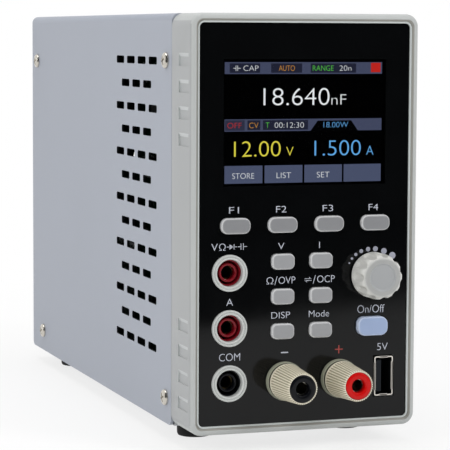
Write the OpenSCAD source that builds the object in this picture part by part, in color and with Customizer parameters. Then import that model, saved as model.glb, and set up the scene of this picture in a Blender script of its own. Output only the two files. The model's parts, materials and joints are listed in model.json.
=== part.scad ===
/* [Case] */
// Width of the case
case_w = 82; // [78:1:120]
// Height of the case without its feet
case_h = 142; // [138:1:200]
// Depth from the front overlay to the rear panel's outer face
case_d = 223.2; // [195:0.1:320]
// Thickness of the cover's sheet
sheet_t = 1; // [0.6:0.1:1.5]
// Thickness of the chassis and rear panel sheet
chassis_t = 1.2; // [0.8:0.1:2]
// Outer radius of the cover's top folds
fold_r = 2.6; // [1.6:0.1:6]
// Radius of the cover's lower corners
flank_r = 2.4; // [1:0.1:8]
// Gap between the case's own pieces
seam = 0.3; // [0.2:0.05:0.5]
// Height of the chassis tray's side flanges
flange_h = 16; // [13:0.5:24]
// Depth of the rear panel's side flanges
rear_flange_d = 17; // [13:0.5:24]

/* [Vent slots] */
// Length of a slot
slot_l = 10; // [6:0.1:12]
// Height of a slot
slot_h = 2.7; // [1.5:0.1:5]
// Corner radius of a slot
slot_r = 0.8; // [0.3:0.1:1]
// Distance from slot to slot along a row
slot_pitch = 13.8; // [12:0.1:18]
// Distance from row to row
row_pitch = 8.43; // [6:0.01:10]
// Rows of slots
slot_rows = 13; // [5:2:13]
// Slots in a long row, one fewer in a short row
slot_count = 4; // [2:1:6]
// Depth of the first long row's front slot centre behind the overlay
slot_front = 43; // [38:0.5:60]
// Height of the pattern's middle row above the case's middle
slot_mid_z = 4.05; // [-8:0.05:10]

/* [Bezel] */
// Depth of the bezel's outer sides behind the overlay
bezel_d = 20.3; // [17:0.1:30]
// Corner radius of the bezel
bezel_r = 4.3; // [3.6:0.1:8]
// Height of the rim's crest in front of the overlay
rim_proud = 1.2; // [0.5:0.1:2.5]
// Depth of the step from the rim down to the overlay
rim_step = 0.25; // [0.1:0.05:0.5]
// Width of the rim round the overlay
rim_w = 3.05; // [2.4:0.05:4]
// Thickness of the lip that the cover slides over
lip_t = 2; // [1.2:0.1:2.2]
// Length of the lip behind the bezel's sides
lip_d = 11; // [9:0.5:18]
// Thickness of the bezel's front plate
plate_t = 2.2; // [1.6:0.1:3]
// Length of a side pocket
pocket_l = 10.9; // [6:0.1:14]
// Height of a side pocket
pocket_h = 4.4; // [2:0.1:6]
// Depth of a side pocket
pocket_t = 0.5; // [0.3:0.1:0.8]
// Distance of the pockets behind the overlay
pocket_front = 1.6; // [1.2:0.1:4]
// Distance from pocket to pocket
pocket_pitch = 8.95; // [7.5:0.05:12]
// Pockets in a group
pocket_count = 4; // [1:1:5]
// Distance of the upper group's middle below the case's top
pocket_top = 28.95; // [24:0.05:45]
// Distance of the lower group's middle above the case's bottom
pocket_bottom = 23.45; // [20:0.05:45]

/* [Overlay and display] */
// Thickness of the printed overlay
overlay_t = 0.6; // [0.3:0.1:1]
// Corner radius of the overlay
overlay_r = 1.3; // [0.5:0.1:4]
// Distance from the overlay's sides to the picture area
screen_side = 9.55; // [9:0.05:13]
// Distance from the F keys up to the picture area
screen_gap = 11.55; // [9:0.05:16]
// Sideways place of the picture area's middle
screen_x = 0.1; // [-1:0.1:1]
// Distance from the overlay's top to the picture area
screen_drop = 13.2; // [9:0.1:16]
// Width of the black margin round the picture area
screen_margin = 0.9; // [0.3:0.1:1.5]
// Overlap of the clear window behind the overlay
window_lap = 1.5; // [0.8:0.1:2.2]
// Thickness of the clear window
window_t = 1; // [0.6:0.1:1.6]
// Thickness of the display module
lcd_t = 4; // [2.5:0.1:5]
// Border of the display module's frame round the window
lcd_border = 1.5; // [1:0.1:2]

/* [Keys] */
// Width of an F key
fkey_w = 10.3; // [7:0.1:13]
// Height of an F key
fkey_h = 5.3; // [4:0.1:7]
// Distance of the outer F keys' middles from the overlay's sides
fkey_inset = 12.645; // [11:0.005:14]
// Sideways place of the F key row's middle
fkey_x = 0.3; // [-2:0.1:2]
// Height of the F key row above the overlay's lower edge
fkey_up = 67.8; // [65:0.1:70]
// Width of a rectangular key
key_w = 8; // [6:0.1:10]
// Height of a rectangular key
key_h = 5.3; // [4:0.1:7]
// Corner radius of a rectangular key
key_r = 1.8; // [1:0.1:1.9]
// Distance between the two columns of rectangular keys
key_column_pitch = 13.82; // [12:0.01:15]
// Distance from row to row of rectangular keys
key_row_pitch = 11.9; // [10:0.1:13]
// Sideways place of the middle between the two columns
key_x = -1.04; // [-3:0.01:2]
// Height of the upper key row above the overlay's lower edge
key_up = 55.3; // [52:0.1:57]
// Height of a key in front of the overlay
key_proud = 1.6; // [1:0.1:3]
// Width of the output key
output_w = 10.9; // [8:0.1:13]
// Height of the output key
output_h = 6.5; // [5:0.1:8]
// Corner radius of the output key
output_r = 2.6; // [1.2:0.1:2.6]
// Height of the output key in front of the overlay
output_proud = 2.3; // [1:0.1:4]
// Height of the output key above the overlay's lower edge
output_up = 32.1; // [28:0.1:36]
// Rounding of a key's front edge
key_edge = 0.6; // [0.3:0.05:0.9]
// Travel of a key
key_travel = 0.8; // [0.3:0.05:1.2]
// Gap round a key
key_gap = 0.3; // [0.2:0.05:0.5]
// Width of a key's skirt behind the plate
key_skirt = 0.9; // [0.6:0.1:1.2]
// Thickness of a key's skirt
key_skirt_t = 0.8; // [0.5:0.1:1.2]
// Radius of a key's stem
stem_r = 1.6; // [1:0.1:2]

/* [Knob] */
// Radius of the knob
knob_r = 7.9; // [6:0.1:9]
// Length of the knob
knob_l = 9.3; // [7:0.1:14]
// Gap between the knob and the overlay
knob_gap = 0.9; // [0.8:0.1:2]
// Distance of the knob's axis from the overlay's right edge
knob_inset = 13.2; // [11:0.1:14.5]
// Height of the knob's axis above the overlay's lower edge
knob_up = 49.8; // [47:0.1:51]
// Travel of the knob when it is pushed
knob_travel = 0.5; // [0.2:0.05:0.6]
// Flutes round the knob
flute_count = 11; // [6:1:16]
// Radius of a flute
flute_r = 2; // [1:0.1:3]
// Depth of a flute
flute_t = 0.75; // [0.3:0.05:1.2]
// Radius of the encoder shaft
shaft_r = 3; // [2:0.1:3.4]
// Depth of the dish in the knob's front
dish_t = 0.5; // [0.2:0.05:1]
// Running clearance of the shaft and the rotor
running = 0.05; // [0.02:0.01:0.09]
// Width of the encoder body
encoder_w = 12.4; // [11:0.1:14]

/* [Meter jacks] */
// Radius of a jack's collar
collar_r = 6.25; // [5.6:0.05:7]
// Height of a collar in front of the overlay
collar_proud = 1; // [0.5:0.1:2]
// Radius of the collar's barrel behind the overlay
barrel_r = 5.4; // [5.1:0.1:5.6]
// Radius of the coloured cup
cup_r = 4.5; // [4.2:0.05:4.8]
// Wall of the coloured cup
cup_wall = 0.45; // [0.3:0.05:0.5]
// Radius of the cup's centre tube
tube_r = 3.3; // [2.8:0.05:3.4]
// Radius of the plug bore in a jack's contact
plug_r = 2.05; // [1.8:0.05:2.2]
// Wall of a jack's contact
contact_wall = 0.4; // [0.3:0.05:0.5]
// Gap round a plug in the cup's centre tube
plug_relief = 0.3; // [0.25:0.05:0.4]
// Depth of a contact's mouth behind the overlay
contact_y = 4; // [3:0.5:8]
// Depth of the cup's front behind the collar's face
cup_recess = 2.2; // [0.3:0.1:2.5]
// Depth of the centre tube's end behind the cup's front
tube_recess = 0.4; // [0.1:0.1:2]
// Length of a jack behind the overlay
jack_l = 22; // [18:0.5:30]
// Distance of the jacks' axis from the overlay's left edge
jack_inset = 11.05; // [10:0.05:12]
// Distance from jack to jack
jack_pitch = 18.75; // [15:0.05:19.5]
// Height of the lowest jack and the posts above the overlay's lower edge
socket_up = 14.4; // [12:0.1:16]

/* [Binding posts] */
// Distance between the two posts
post_pitch = 20; // [17:0.1:21]
// Sideways place of the middle between the posts
post_x = 3; // [2:0.1:4]
// Reach of a post in front of the overlay
post_reach = 18.3; // [15:0.1:24]
// Radius of a post's base collar
base_r = 6.65; // [6.4:0.05:7]
// Thickness of a post's base collar
base_t = 2.2; // [1.5:0.1:3]
// Radius of a cap at the base
cap_rear_r = 6.3; // [6:0.05:6.6]
// Radius of a cap at the front
cap_front_r = 5.45; // [5.3:0.05:6]
// Grooves round a cap
groove_count = 36; // [18:1:40]
// Radius of a groove
groove_r = 0.28; // [0.15:0.01:0.32]
// Radius of the coloured sleeve
sleeve_r = 4.7; // [4.4:0.05:4.8]
// Radius of the sleeve's front hole
sleeve_hole_r = 2.25; // [2.1:0.05:2.6]
// Radius of a post's stud
stud_r = 3.2; // [2.9:0.05:3.4]
// Radius of the plug bore in a stud
stud_bore_r = 2.05; // [1.8:0.05:2.2]
// Radius of the wire hole across a stud
wire_hole_r = 1.2; // [0.8:0.1:1.4]
// Lift of a cap when it is unscrewed
post_lift = 4.5; // [2:0.1:5]

/* [USB outlet] */
// Width of the outlet's shell
usb_w = 6.9; // [5.5:0.1:8]
// Height of the outlet's shell
usb_h = 13.7; // [11:0.1:16]
// Depth of the outlet's shell
usb_d = 14; // [10:0.5:18]
// Wall of the outlet's shell
usb_wall = 0.4; // [0.3:0.05:0.5]
// Distance of the outlet's middle from the overlay's right edge
usb_inset = 8.4; // [7.5:0.05:9.5]
// Gap round the shell in the overlay
usb_gap = 0.45; // [0.3:0.05:0.8]
// Thickness of the contact tongue
tongue_t = 1.9; // [1.4:0.1:2.2]

/* [Feet] */
// Height of a foot
foot_h = 6; // [4:0.5:12]
// Radius of a foot against the case
foot_r = 6.3; // [5:0.1:9]
// Radius of a foot on the ground
foot_tip_r = 5.3; // [4:0.1:8]
// Distance of the feet from the case's sides
foot_inset = 12.8; // [10:0.1:18]
// Depth of the front feet behind the overlay
foot_front = 33.6; // [31:0.1:45]
// Distance of the rear feet from the rear panel's face
foot_rear = 24; // [14:0.5:40]

/* [Screws] */
// Radius of a screw's head
head_r = 2.8; // [2.2:0.1:3.2]
// Height of a screw's head
head_h = 1.5; // [1:0.1:2.2]
// Radius of a screw's thread
thread_r = 1.4; // [1:0.1:1.6]
// Depth of the front cover screws behind the overlay
front_screw_y = 26.7; // [25:0.1:28]
// Distance of the upper front cover screws below the case's top
front_screw_top = 16.1; // [13:0.1:22]
// Distance of the lower front cover screws above the case's bottom
front_screw_bottom = 9.1; // [8.5:0.1:12]
// Distance of the upper rear cover screws from the rear face
rear_screw_back = 9.8; // [7:0.1:12]
// Distance of the upper rear cover screws below the case's top
rear_screw_top = 18.7; // [14:0.1:24]
// Distance of the lower rear cover screws from the rear face
tray_screw_back = 19; // [12:0.1:30]
// Distance of the lower rear cover screws above the case's bottom
tray_screw_up = 8.5; // [6:0.1:11]

/* [Boards] */
// Thickness of the circuit boards
board_t = 1.6; // [1:0.1:2]
// Depth of the front board behind the overlay
board_y = 9.7; // [9:0.1:12]
// Border between the front board and the bezel's lip
board_border = 1; // [0.5:0.1:2]
// Height of the power board's standoffs
standoff_h = 6; // [4:0.5:10]
// Gap between the power board and the chassis flanges
power_board_gap = 3.5; // [2:0.1:6]
// Depth of the power board's front edge behind the overlay
power_board_front = 92; // [90:1:100]
// Distance of the power board's rear edge from the rear panel's face
power_board_rear = 26; // [25:1:40]
// Depth of the meter board's rear edge behind the overlay
meter_board_rear = 88; // [60:1:89]
// Distance of the meter board's edges from the case's top and bottom
meter_board_border = 13; // [11:0.5:25]

/* [Power parts] */
// Width of the transformer core
core_w = 36; // [28:1:36]
// Depth of the transformer core
core_d = 34; // [26:1:38]
// Height of the transformer core
core_h = 30; // [22:1:40]
// Radius of a large capacitor
cap_r = 9; // [7:0.5:9]
// Height of a large capacitor
cap_h = 32; // [20:1:40]
// Height of a heat sink
sink_h = 44; // [30:1:60]
// Length of a heat sink
sink_l = 76; // [50:1:80]
// Thickness of a heat sink's fins
fin_t = 1.4; // [1:0.1:1.8]
// Fins on a heat sink
fin_count = 9; // [4:1:10]

/* [Fan] */
// Width of the fan frame
fan_w = 60; // [50:1:60]
// Depth of the fan frame
fan_d = 15; // [12:0.5:20]
// Distance between the fan's screws
fan_pitch = 50; // [42:0.5:52]
// Distance of the fan's middle below the case's top
fan_drop = 36; // [33:0.5:38]
// Radius of the fan's hub
hub_r = 13; // [9:0.5:16]
// Gap between the blade tips and the frame
tip_gap = 0.8; // [0.5:0.1:1.5]
// Wall of the frame at its narrowest
fan_wall = 1.3; // [0.8:0.1:2]
// Blades of the fan
blade_count = 7; // [5:1:9]
// Angle between a blade and the fan's plane
blade_pitch = 38; // [25:1:50]
// Radius of a blade's curve
blade_camber = 20; // [17:0.5:40]
// Chord of a blade before its ends are cut square
fan_blade_l = 19; // [17:0.5:24]
// Thickness of a blade
fan_blade_t = 1.2; // [0.8:0.1:1.6]
// Radius of the guard's wire
wire_r = 0.8; // [0.5:0.1:1]
// Rings of the guard
ring_count = 5; // [3:1:6]

/* [Mains side] */
// Width of the inlet housing
inlet_w = 27; // [26.5:0.1:30]
// Height of the inlet housing
inlet_h = 31; // [30:0.1:34]
// Depth of the inlet housing inside the panel
inlet_d = 22; // [20:0.5:23]
// Sideways place of the inlet's middle
inlet_x = 16; // [15.8:0.1:18]
// Height of the inlet's and the switch's middle above the case's bottom
mains_up = 32; // [30:0.5:34]
// Width of the inlet's cavity
cavity_w = 24; // [23:0.1:24.2]
// Height of the inlet's cavity
cavity_h = 16.4; // [15:0.1:16.6]
// Depth of the inlet's cavity
cavity_d = 17; // [14:0.5:18]
// Width of the fuse drawer
drawer_w = 20; // [16:0.5:22]
// Height of the fuse drawer
drawer_h = 8; // [7:0.1:8.4]
// Travel of the fuse drawer
drawer_travel = 12; // [6:0.5:14]
// Width of a mains piece's flange outside its housing
flange_lap = 1.6; // [1:0.1:2]
// Thickness of a mains piece's flange
flange_t = 2; // [1.4:0.1:3]
// Width of the switch housing
switch_w = 13; // [12:0.1:15]
// Height of the switch housing
switch_h = 19.2; // [18:0.1:24]
// Depth of the switch housing inside the panel
switch_d = 14; // [12:0.5:20]
// Sideways place of the switch's and the selector's middle
switch_x = -18; // [-22:0.5:-14]
// Tilt of the rocker either way
rocker_tilt = 9; // [5:0.5:10]
// Width of the selector housing
selector_w = 20; // [18:0.1:24]
// Height of the selector housing
selector_h = 10; // [9:0.1:12]
// Depth of the selector housing inside the panel
selector_d = 8; // [6:0.5:12]
// Height of the selector's middle above the case's bottom
selector_up = 56; // [54:0.5:58]
// Travel of the selector's slider
selector_travel = 5; // [3:0.5:6]
// Width of the selector's slider
slider_w = 5; // [4:0.5:6]

/* [Hidden] */
$fn = 48;
overlay_w = case_w - 2 * rim_w;
overlay_h = case_h - 2 * rim_w;
edge_r = overlay_w / 2;
edge_b = -overlay_h / 2;
rim_crest = 0.55;
rim_round = 0.6;
tap_gap = 0.1;
pass_gap = 0.2;
boss_r = 2.8;
bush_wall = 0.6;
tact_w = 6.2;
tact_h = 3.6;
stem_in = 1.2;
pin_r = 1;
pin_l = 4;
cup_floor = 2;
contact_floor = 1.5;
stud_recess = 2.4;
stud_tail = 9;
nut_r = 5.6;
nut_t = 3;
foot_web = 3;
fan_screw_l = 9;
guard_in = 4;
guard_boss_r = 3.4;
fan_axle_r = 1.5;
fan_hub_t = 2;
mains_wall = 1.6;
pin_in = 5;
pin_out = 3;
pin_side = 7;
pin_low = 2;
rocker_in = 2;
rocker_back = 2;
rocker_side = 2.6;
rocker_slope = 1.4;
rocker_dip = 2.9;
rocker_room = 2.15;
rocker_half = switch_h / 2 - rocker_room;
rocker_crest = 4.4;
rocker_out = rocker_crest * cos(rocker_tilt) + rocker_half * sin(rocker_tilt) - rocker_in;
tab_t = 0.8;
rear_reach = max(2 * wire_r + head_h, flange_t + tab_t, rocker_out);
panel_y = (post_reach - case_d - rear_reach) / 2;
panel_z = foot_h + case_h / 2;
plate_y = overlay_t;
plate_back = plate_y + plate_t;
lip_in = sheet_t + seam;
wall_in = lip_in + lip_t;
lip_end = bezel_d + lip_d;
screen_w = overlay_w - 2 * screen_side;
screen_h = overlay_h - screen_drop - fkey_up - fkey_h / 2 - screen_gap;
screen_z = overlay_h / 2 - screen_drop - screen_h / 2;
fkey_pitch = (overlay_w - 2 * fkey_inset) / 3;
view_w = screen_w + 2 * screen_margin;
view_h = screen_h + 2 * screen_margin;
window_w = view_w + 2 * window_lap;
window_h = view_h + 2 * window_lap;
meter_board_h = case_h - 2 * meter_board_border;
lcd_y = plate_y + window_t + seam;
row_z = edge_b + socket_up;
knob_x = edge_r - knob_inset;
knob_z = edge_b + knob_up;
jack_x = jack_inset - edge_r;
usb_x = edge_r - usb_inset;
switch_top_y = board_y - tact_h;
stem_end = switch_top_y + stem_in;
base_spigot_r = stud_r + 1;
tray_x = case_w / 2 - sheet_t - seam;
tray_z = -case_h / 2;
rear_in = case_d - chassis_t;
power_board_w = 2 * (tray_x - chassis_t - power_board_gap);
floor_z = tray_z + chassis_t + standoff_h;
board_top = floor_z + board_t;
fan_z = case_h / 2 - fan_drop;
fan_y = rear_in - fan_d;
fan_bore_r = fan_w / 2 - fan_wall;
mains_z = tray_z + mains_up;
cavity_z = mains_z + inlet_h / 2 - cavity_h / 2 - mains_wall;
drawer_z = mains_z - inlet_h / 2 + drawer_h / 2 + mains_wall;
transistor_t = 4.2;
transistor_w = 15;
transistor_h = 20;
transistor_up = 8;
transistor_pitch = 52;
sink_wall = 3;
sink_foot = 8;
sink_back = 3;
core_limb = 5;
core_back = 16;
winding_lap = 3;
stand_front = 6;
stand_rear = 18;
sink_in = max(core_w / 2, 2 * cap_r + 0.5) + seam + transistor_t + 0.1;
sink_out = power_board_w / 2 - 1;
selector_z = tray_z + selector_up;
power_mid = (power_board_front + case_d - power_board_rear) / 2;
cap_rear_y = -base_t - seam;
cap_front_y = seam - post_reach;
arc_steps = 5;

// Places a piece drawn about the overlay's middle in the part's own frame
module placed() {
    translate([0, panel_y, panel_z]) children();
}

// Extrudes a drawing in x and z from one depth to another
module slab(y0, y1) {
    translate([0, y1, 0]) rotate([90, 0, 0]) linear_extrude(y1 - y0) children();
}

// A straight round bar along y
module bar(x, z, r, y0, y1) {
    translate([x, y1, z]) rotate([90, 0, 0]) cylinder(h = y1 - y0, r = r);
}

// Turns a profile of radius and depth about an axis along y
module turned(x, z) {
    translate([x, 0, z]) rotate([-90, 0, 0]) rotate_extrude() children();
}

// A rectangle with round corners
module round_rect(w, h, r) {
    square([w - 2 * r, h], center = true);
    if (h - 2 * r > 0.01) {
        square([w, h - 2 * r], center = true);
    }
    for (x = [-1, 1], y = [-1, 1]) {
        translate([x * (w / 2 - r), y * (h / 2 - r)]) circle(r);
    }
}

// Sweeps a profile of inset and depth round a rectangle with round corners
module swept(w, h, r, profile) {
    for (i = [0:3]) {
        across = i % 2 == 0 ? w : h;
        along = i % 2 == 0 ? h : w;
        rotate([0, 90 * i, 0]) {
            translate([across / 2 - r, 0, along / 2 - r]) {
                rotate([-90, 0, 0]) rotate([0, 0, -90]) rotate_extrude(angle = 90) {
                    polygon([for (p = profile) [r - p[0], p[1]]]);
                }
            }
            if (along - 2 * r > 0.01) {
                translate([across / 2, 0, r - along / 2]) linear_extrude(along - 2 * r) {
                    polygon([for (p = profile) [-p[0], p[1]]]);
                }
            }
        }
    }
}

// A slab with round corners and a rounded front edge
module pad(w, h, r, edge, y0, y1) {
    front = [for (i = [0:arc_steps]) let (a = 90 * i / arc_steps)
        [edge * (1 - cos(a)), y0 + edge * (1 - sin(a))]];
    swept(w, h, r, concat([[r, y1], [0, y1]], front, [[r, y0]]));
    if (h - 2 * r > 0.01) {
        slab(y0, y1) square([w - 2 * r, h - 2 * r], center = true);
    }
}

// A screw with a rounded head that points along -y, its seat at y = 0
module screw(l) {
    turned(0, 0) polygon([[0, -head_h], [head_r * 0.55, -head_h], [head_r * 0.85, -head_h * 0.75],
        [head_r, -head_h * 0.3], [head_r, 0], [thread_r, 0], [thread_r, l], [0, l]]);
}

// A screw with a cross recess
module cross_screw(l) {
    difference() {
        screw(l);
        for (a = [0, 90]) {
            rotate([0, a + 20, 0]) translate([0, -head_h, 0]) {
                cube([head_r * 1.1, head_h, 0.5], center = true);
            }
        }
    }
}

// Centres of the four cover screws on one side as depth and height
cover_screw_at = [
    [front_screw_y, case_h / 2 - front_screw_top],
    [front_screw_y, front_screw_bottom - case_h / 2],
    [case_d - rear_screw_back, case_h / 2 - rear_screw_top],
    [case_d - tray_screw_back, tray_screw_up - case_h / 2]
];
key_at = [for (row = [0:2], column = [0:1])
    [key_x + (column - 0.5) * key_column_pitch, edge_b + key_up - row * key_row_pitch]];
fkey_at = [for (i = [0:3]) [fkey_x + (i - 1.5) * fkey_pitch, edge_b + fkey_up]];
output_at = [knob_x, edge_b + output_up];
jack_at = [for (i = [2:-1:0]) [jack_x, row_z + i * jack_pitch]];
post_at = [for (s = [-1, 1]) [post_x + s * post_pitch / 2, row_z]];
boss_x = case_w / 2 - wall_in - board_border - boss_r;
boss_z = case_h / 2 - wall_in - board_border - boss_r;
boss_at = [for (x = [-1, 1], z = [-1, 1]) [x * boss_x, z * boss_z]];
plate_split_x = (jack_x + barrel_r + key_at[0][0] - key_w / 2) / 2;
plate_split_z = (fkey_at[0][1] - fkey_h / 2 + key_at[0][1] + key_h / 2) / 2;
socket_split_z = (key_at[5][1] - key_h / 2 + row_z + usb_h / 2) / 2;
blade_t = 2;
blade_w = 4;
blade_at = [for (i = [-1:1]) [inlet_x + i * pin_side, cavity_z + (i == 0 ? pin_low : -pin_low)]];
foot_at = [for (x = [-1, 1], y = [foot_front, case_d - foot_rear])
    [x * (case_w / 2 - foot_inset), y]];
stand_at = [for (x = [-1, 1], y = [power_board_front + stand_front, case_d - power_board_rear - stand_rear])
    [x * (power_board_w / 2 - 5), y]];

// The openings that the plate and the overlay share
module front_openings(extra) {
    for (p = key_at) {
        translate(p) round_rect(key_w + 2 * key_gap, key_h + 2 * key_gap, key_r + key_gap);
    }
    for (p = fkey_at) {
        translate(p) round_rect(fkey_w + 2 * key_gap, fkey_h + 2 * key_gap, fkey_h / 2 + key_gap);
    }
    translate(output_at) {
        round_rect(output_w + 2 * key_gap, output_h + 2 * key_gap, output_r + key_gap);
    }
    translate([knob_x, knob_z]) circle(shaft_r + bush_wall + seam);
    for (p = jack_at) {
        translate(p) circle(barrel_r + extra);
    }
    for (p = post_at) {
        translate(p) circle(base_spigot_r + extra);
    }
}

// The moulded frame with its rim, side pockets and the lip that the cover slides over
module front_bezel() {
    crest = rim_crest * rim_w;
    outer = [for (i = [0:arc_steps]) let (a = 90 * i / arc_steps)
        [crest * (1 - cos(a)), -rim_proud + (rim_proud + rim_round) * (1 - sin(a))]];
    color([0.72, 0.73, 0.71]) placed() difference() {
        swept(case_w, case_h, bezel_r, concat(
            [[wall_in, lip_end], [lip_in, lip_end], [lip_in, bezel_d], [0, bezel_d]], outer,
            [[crest + 0.2, -rim_proud], [rim_w - seam, -rim_step], [rim_w, -rim_step],
            [rim_w, plate_y], [wall_in, plate_y]]));
        for (s = [-1, 1], i = [0:pocket_count - 1]) {
            step = (i - (pocket_count - 1) / 2) * pocket_pitch;
            for (z = [case_h / 2 - pocket_top + step, pocket_bottom - case_h / 2 + step]) {
                translate([s * case_w / 2, pocket_front + pocket_l / 2, z]) {
                    cube([2 * pocket_t, pocket_l, pocket_h], center = true);
                }
            }
        }
        for (s = [-1, 1], i = [0, 1]) {
            translate([s * (case_w / 2 - wall_in - 1), cover_screw_at[i][0], cover_screw_at[i][1]]) {
                rotate([0, s * 90, 0]) cylinder(h = wall_in + 1, r = thread_r + tap_gap);
            }
        }
    }
}

// One of the plates inside the frame, between two lines across and two lines up
module plate(x0, x1, z0, z1) {
    border = wall_in + seam;
    color([0.72, 0.73, 0.71]) placed() difference() {
        intersection() {
            union() {
                slab(plate_y, plate_back) {
                    round_rect(case_w - 2 * border, case_h - 2 * border, max(bezel_r - border, 0.3));
                }
                for (p = boss_at) {
                    bar(p[0], p[1], boss_r, plate_back - 0.2, board_y);
                }
            }
            slab(plate_y - 1, board_y + 1) translate([x0 + seam / 2, z0 + seam / 2]) {
                square([x1 - x0 - seam, z1 - z0 - seam]);
            }
        }
        slab(plate_y - 0.1, plate_back + 0.1) {
            front_openings(seam);
            translate([screen_x, screen_z]) {
                square([window_w + 2 * seam, window_h + 2 * seam], center = true);
            }
            translate([usb_x, row_z]) square([usb_w + 2 * usb_gap, usb_h + 2 * usb_gap], center = true);
        }
        for (p = boss_at) {
            bar(p[0], p[1], thread_r + tap_gap, plate_back + 1, board_y + 1);
        }
    }
}

// The plate round the display and the F keys, and the one round the other keys
module panel_plates() {
    plate(-case_w, case_w, plate_split_z, case_h);
    plate(plate_split_x, case_w, socket_split_z, plate_split_z);
}

// The plate that holds the jacks, and the one that holds the posts and the outlet
module socket_plates() {
    plate(-case_w, plate_split_x, -case_h, plate_split_z);
    plate(plate_split_x, case_w, -case_h, socket_split_z);
}

module front_overlay() {
    color([0.06, 0.06, 0.07]) placed() slab(0, overlay_t) difference() {
        round_rect(overlay_w - 0.2, overlay_h - 0.2, overlay_r);
        front_openings(seam);
        translate([screen_x, screen_z]) square([view_w, view_h], center = true);
        translate([usb_x, row_z]) square([usb_w + 2 * usb_gap, usb_h + 2 * usb_gap], center = true);
    }
}

module display_window() {
    color([0.5, 0.55, 0.6, 0.5]) placed() slab(plate_y, plate_y + window_t) {
        translate([screen_x, screen_z]) square([window_w, window_h], center = true);
    }
}

module display_module() {
    color([0.2, 0.3, 0.45]) placed() translate([screen_x, 0, screen_z]) {
        slab(lcd_y, lcd_y + lcd_t) square([window_w, window_h], center = true);
        slab(plate_back + 0.1, lcd_y + lcd_t) {
            square([window_w + 2 * lcd_border, window_h + 2 * lcd_border], center = true);
        }
    }
}

// A key with a rounded cap, a skirt behind the plate and a stem into its switch
module key(at, w, h, r, proud) {
    placed() translate([at[0], 0, at[1]]) {
        pad(w, h, r, key_edge, -proud, plate_back + seam + key_skirt_t);
        slab(plate_back + seam, plate_back + seam + key_skirt_t) {
            round_rect(w + 2 * key_skirt, h + 2 * key_skirt, r + key_skirt);
        }
        bar(0, 0, stem_r, plate_back, stem_end);
    }
}

module f_key(i) {
    color([0.71, 0.71, 0.72]) key(fkey_at[i], fkey_w, fkey_h, fkey_h / 2, key_proud);
}

module small_key(i) {
    color([0.71, 0.71, 0.72]) key(key_at[i], key_w, key_h, key_r, key_proud);
}

module f1_key() { f_key(0); }
module f2_key() { f_key(1); }
module f3_key() { f_key(2); }
module f4_key() { f_key(3); }
module voltage_key() { small_key(0); }
module current_key() { small_key(1); }
module ohms_key() { small_key(2); }
module swap_key() { small_key(3); }
module display_key() { small_key(4); }
module mode_key() { small_key(5); }
module output_key() {
    color([0.66, 0.72, 0.86]) key(output_at, output_w, output_h, output_r, output_proud);
}

module control_knob() {
    front = -knob_gap - knob_l;
    start = -knob_gap - 0.32 * knob_l;
    color([0.78, 0.77, 0.74]) placed() translate([knob_x, 0, knob_z]) difference() {
        turned(0, 0) polygon([[0, front + dish_t], [0.56 * knob_r, front + dish_t], [0.6 * knob_r, front],
            [0.74 * knob_r, front], [0.8 * knob_r, front + 0.25], [0.86 * knob_r, front + 0.55],
            [0.91 * knob_r, front + 1], [0.96 * knob_r, front + 1.8], [0.985 * knob_r, front + 3],
            [knob_r, -knob_gap - 0.3], [knob_r - 0.3, -knob_gap], [0, -knob_gap]]);
        for (i = [0:flute_count - 1]) {
            rotate([0, (i + 0.5) * 360 / flute_count, 0]) {
                bar(knob_r + flute_r - flute_t, 0, flute_r, front - 1, start);
                translate([knob_r + flute_r - flute_t, start, 0]) sphere(flute_r);
            }
        }
        bar(0, 0, shaft_r + 0.02, front + 2, 1);
    }
}

module encoder_shaft() {
    color([0.75, 0.75, 0.75]) placed() {
        bar(knob_x, knob_z, shaft_r, -knob_gap - knob_l + 2.1, board_y - knob_travel - 0.8);
    }
}

module encoder_rotor() {
    color([0.2, 0.2, 0.2]) placed() difference() {
        bar(knob_x, knob_z, encoder_w / 2 - 1.5, board_y - 4.2, board_y - 0.9);
        bar(knob_x, knob_z, shaft_r + running, board_y - 5, board_y);
    }
}

module encoder_body() {
    color([0.35, 0.38, 0.36]) placed() difference() {
        union() {
            slab(plate_back + seam, board_y) translate([knob_x, knob_z]) {
                square([encoder_w, encoder_w], center = true);
            }
            bar(knob_x, knob_z, shaft_r + bush_wall, 0, plate_back + 1);
        }
        bar(knob_x, knob_z, shaft_r + running, -1, board_y - 1);
        bar(knob_x, knob_z, encoder_w / 2 - 1.5 + running, board_y - 4.5, board_y - 0.6);
    }
}

module jack_collars() {
    color([0.74, 0.75, 0.72]) placed() for (p = jack_at) {
        difference() {
            turned(p[0], p[1]) polygon([[0, -collar_proud + 0.2], [cup_r + 0.5, -collar_proud],
                [collar_r - 0.5, -collar_proud], [collar_r - 0.15, -collar_proud + 0.2],
                [collar_r, -collar_proud + 0.5], [collar_r, 0], [barrel_r, 0], [barrel_r, jack_l - 1],
                [0, jack_l - 1]]);
            bar(p[0], p[1], cup_r + running, -collar_proud - 1, jack_l);
        }
    }
}

// The coloured cup of a jack with its centre tube
module jack_cup(p) {
    front = cup_recess - collar_proud;
    placed() difference() {
        bar(p[0], p[1], cup_r, front, jack_l);
        difference() {
            bar(p[0], p[1], cup_r - cup_wall, -collar_proud - 1, jack_l - cup_floor);
            bar(p[0], p[1], tube_r, front + tube_recess, jack_l);
        }
        bar(p[0], p[1], plug_r + plug_relief, -collar_proud, contact_y);
        bar(p[0], p[1], plug_r + contact_wall + running, contact_y, jack_l - cup_floor);
        bar(p[0], p[1], pin_r + running, 0, jack_l + 1);
    }
}

module volts_jack_cup() { color([0.45, 0.05, 0.08]) jack_cup(jack_at[0]); }
module amps_jack_cup() { color([0.45, 0.05, 0.08]) jack_cup(jack_at[1]); }
module common_jack_cup() { color([0.05, 0.05, 0.05]) jack_cup(jack_at[2]); }

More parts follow.
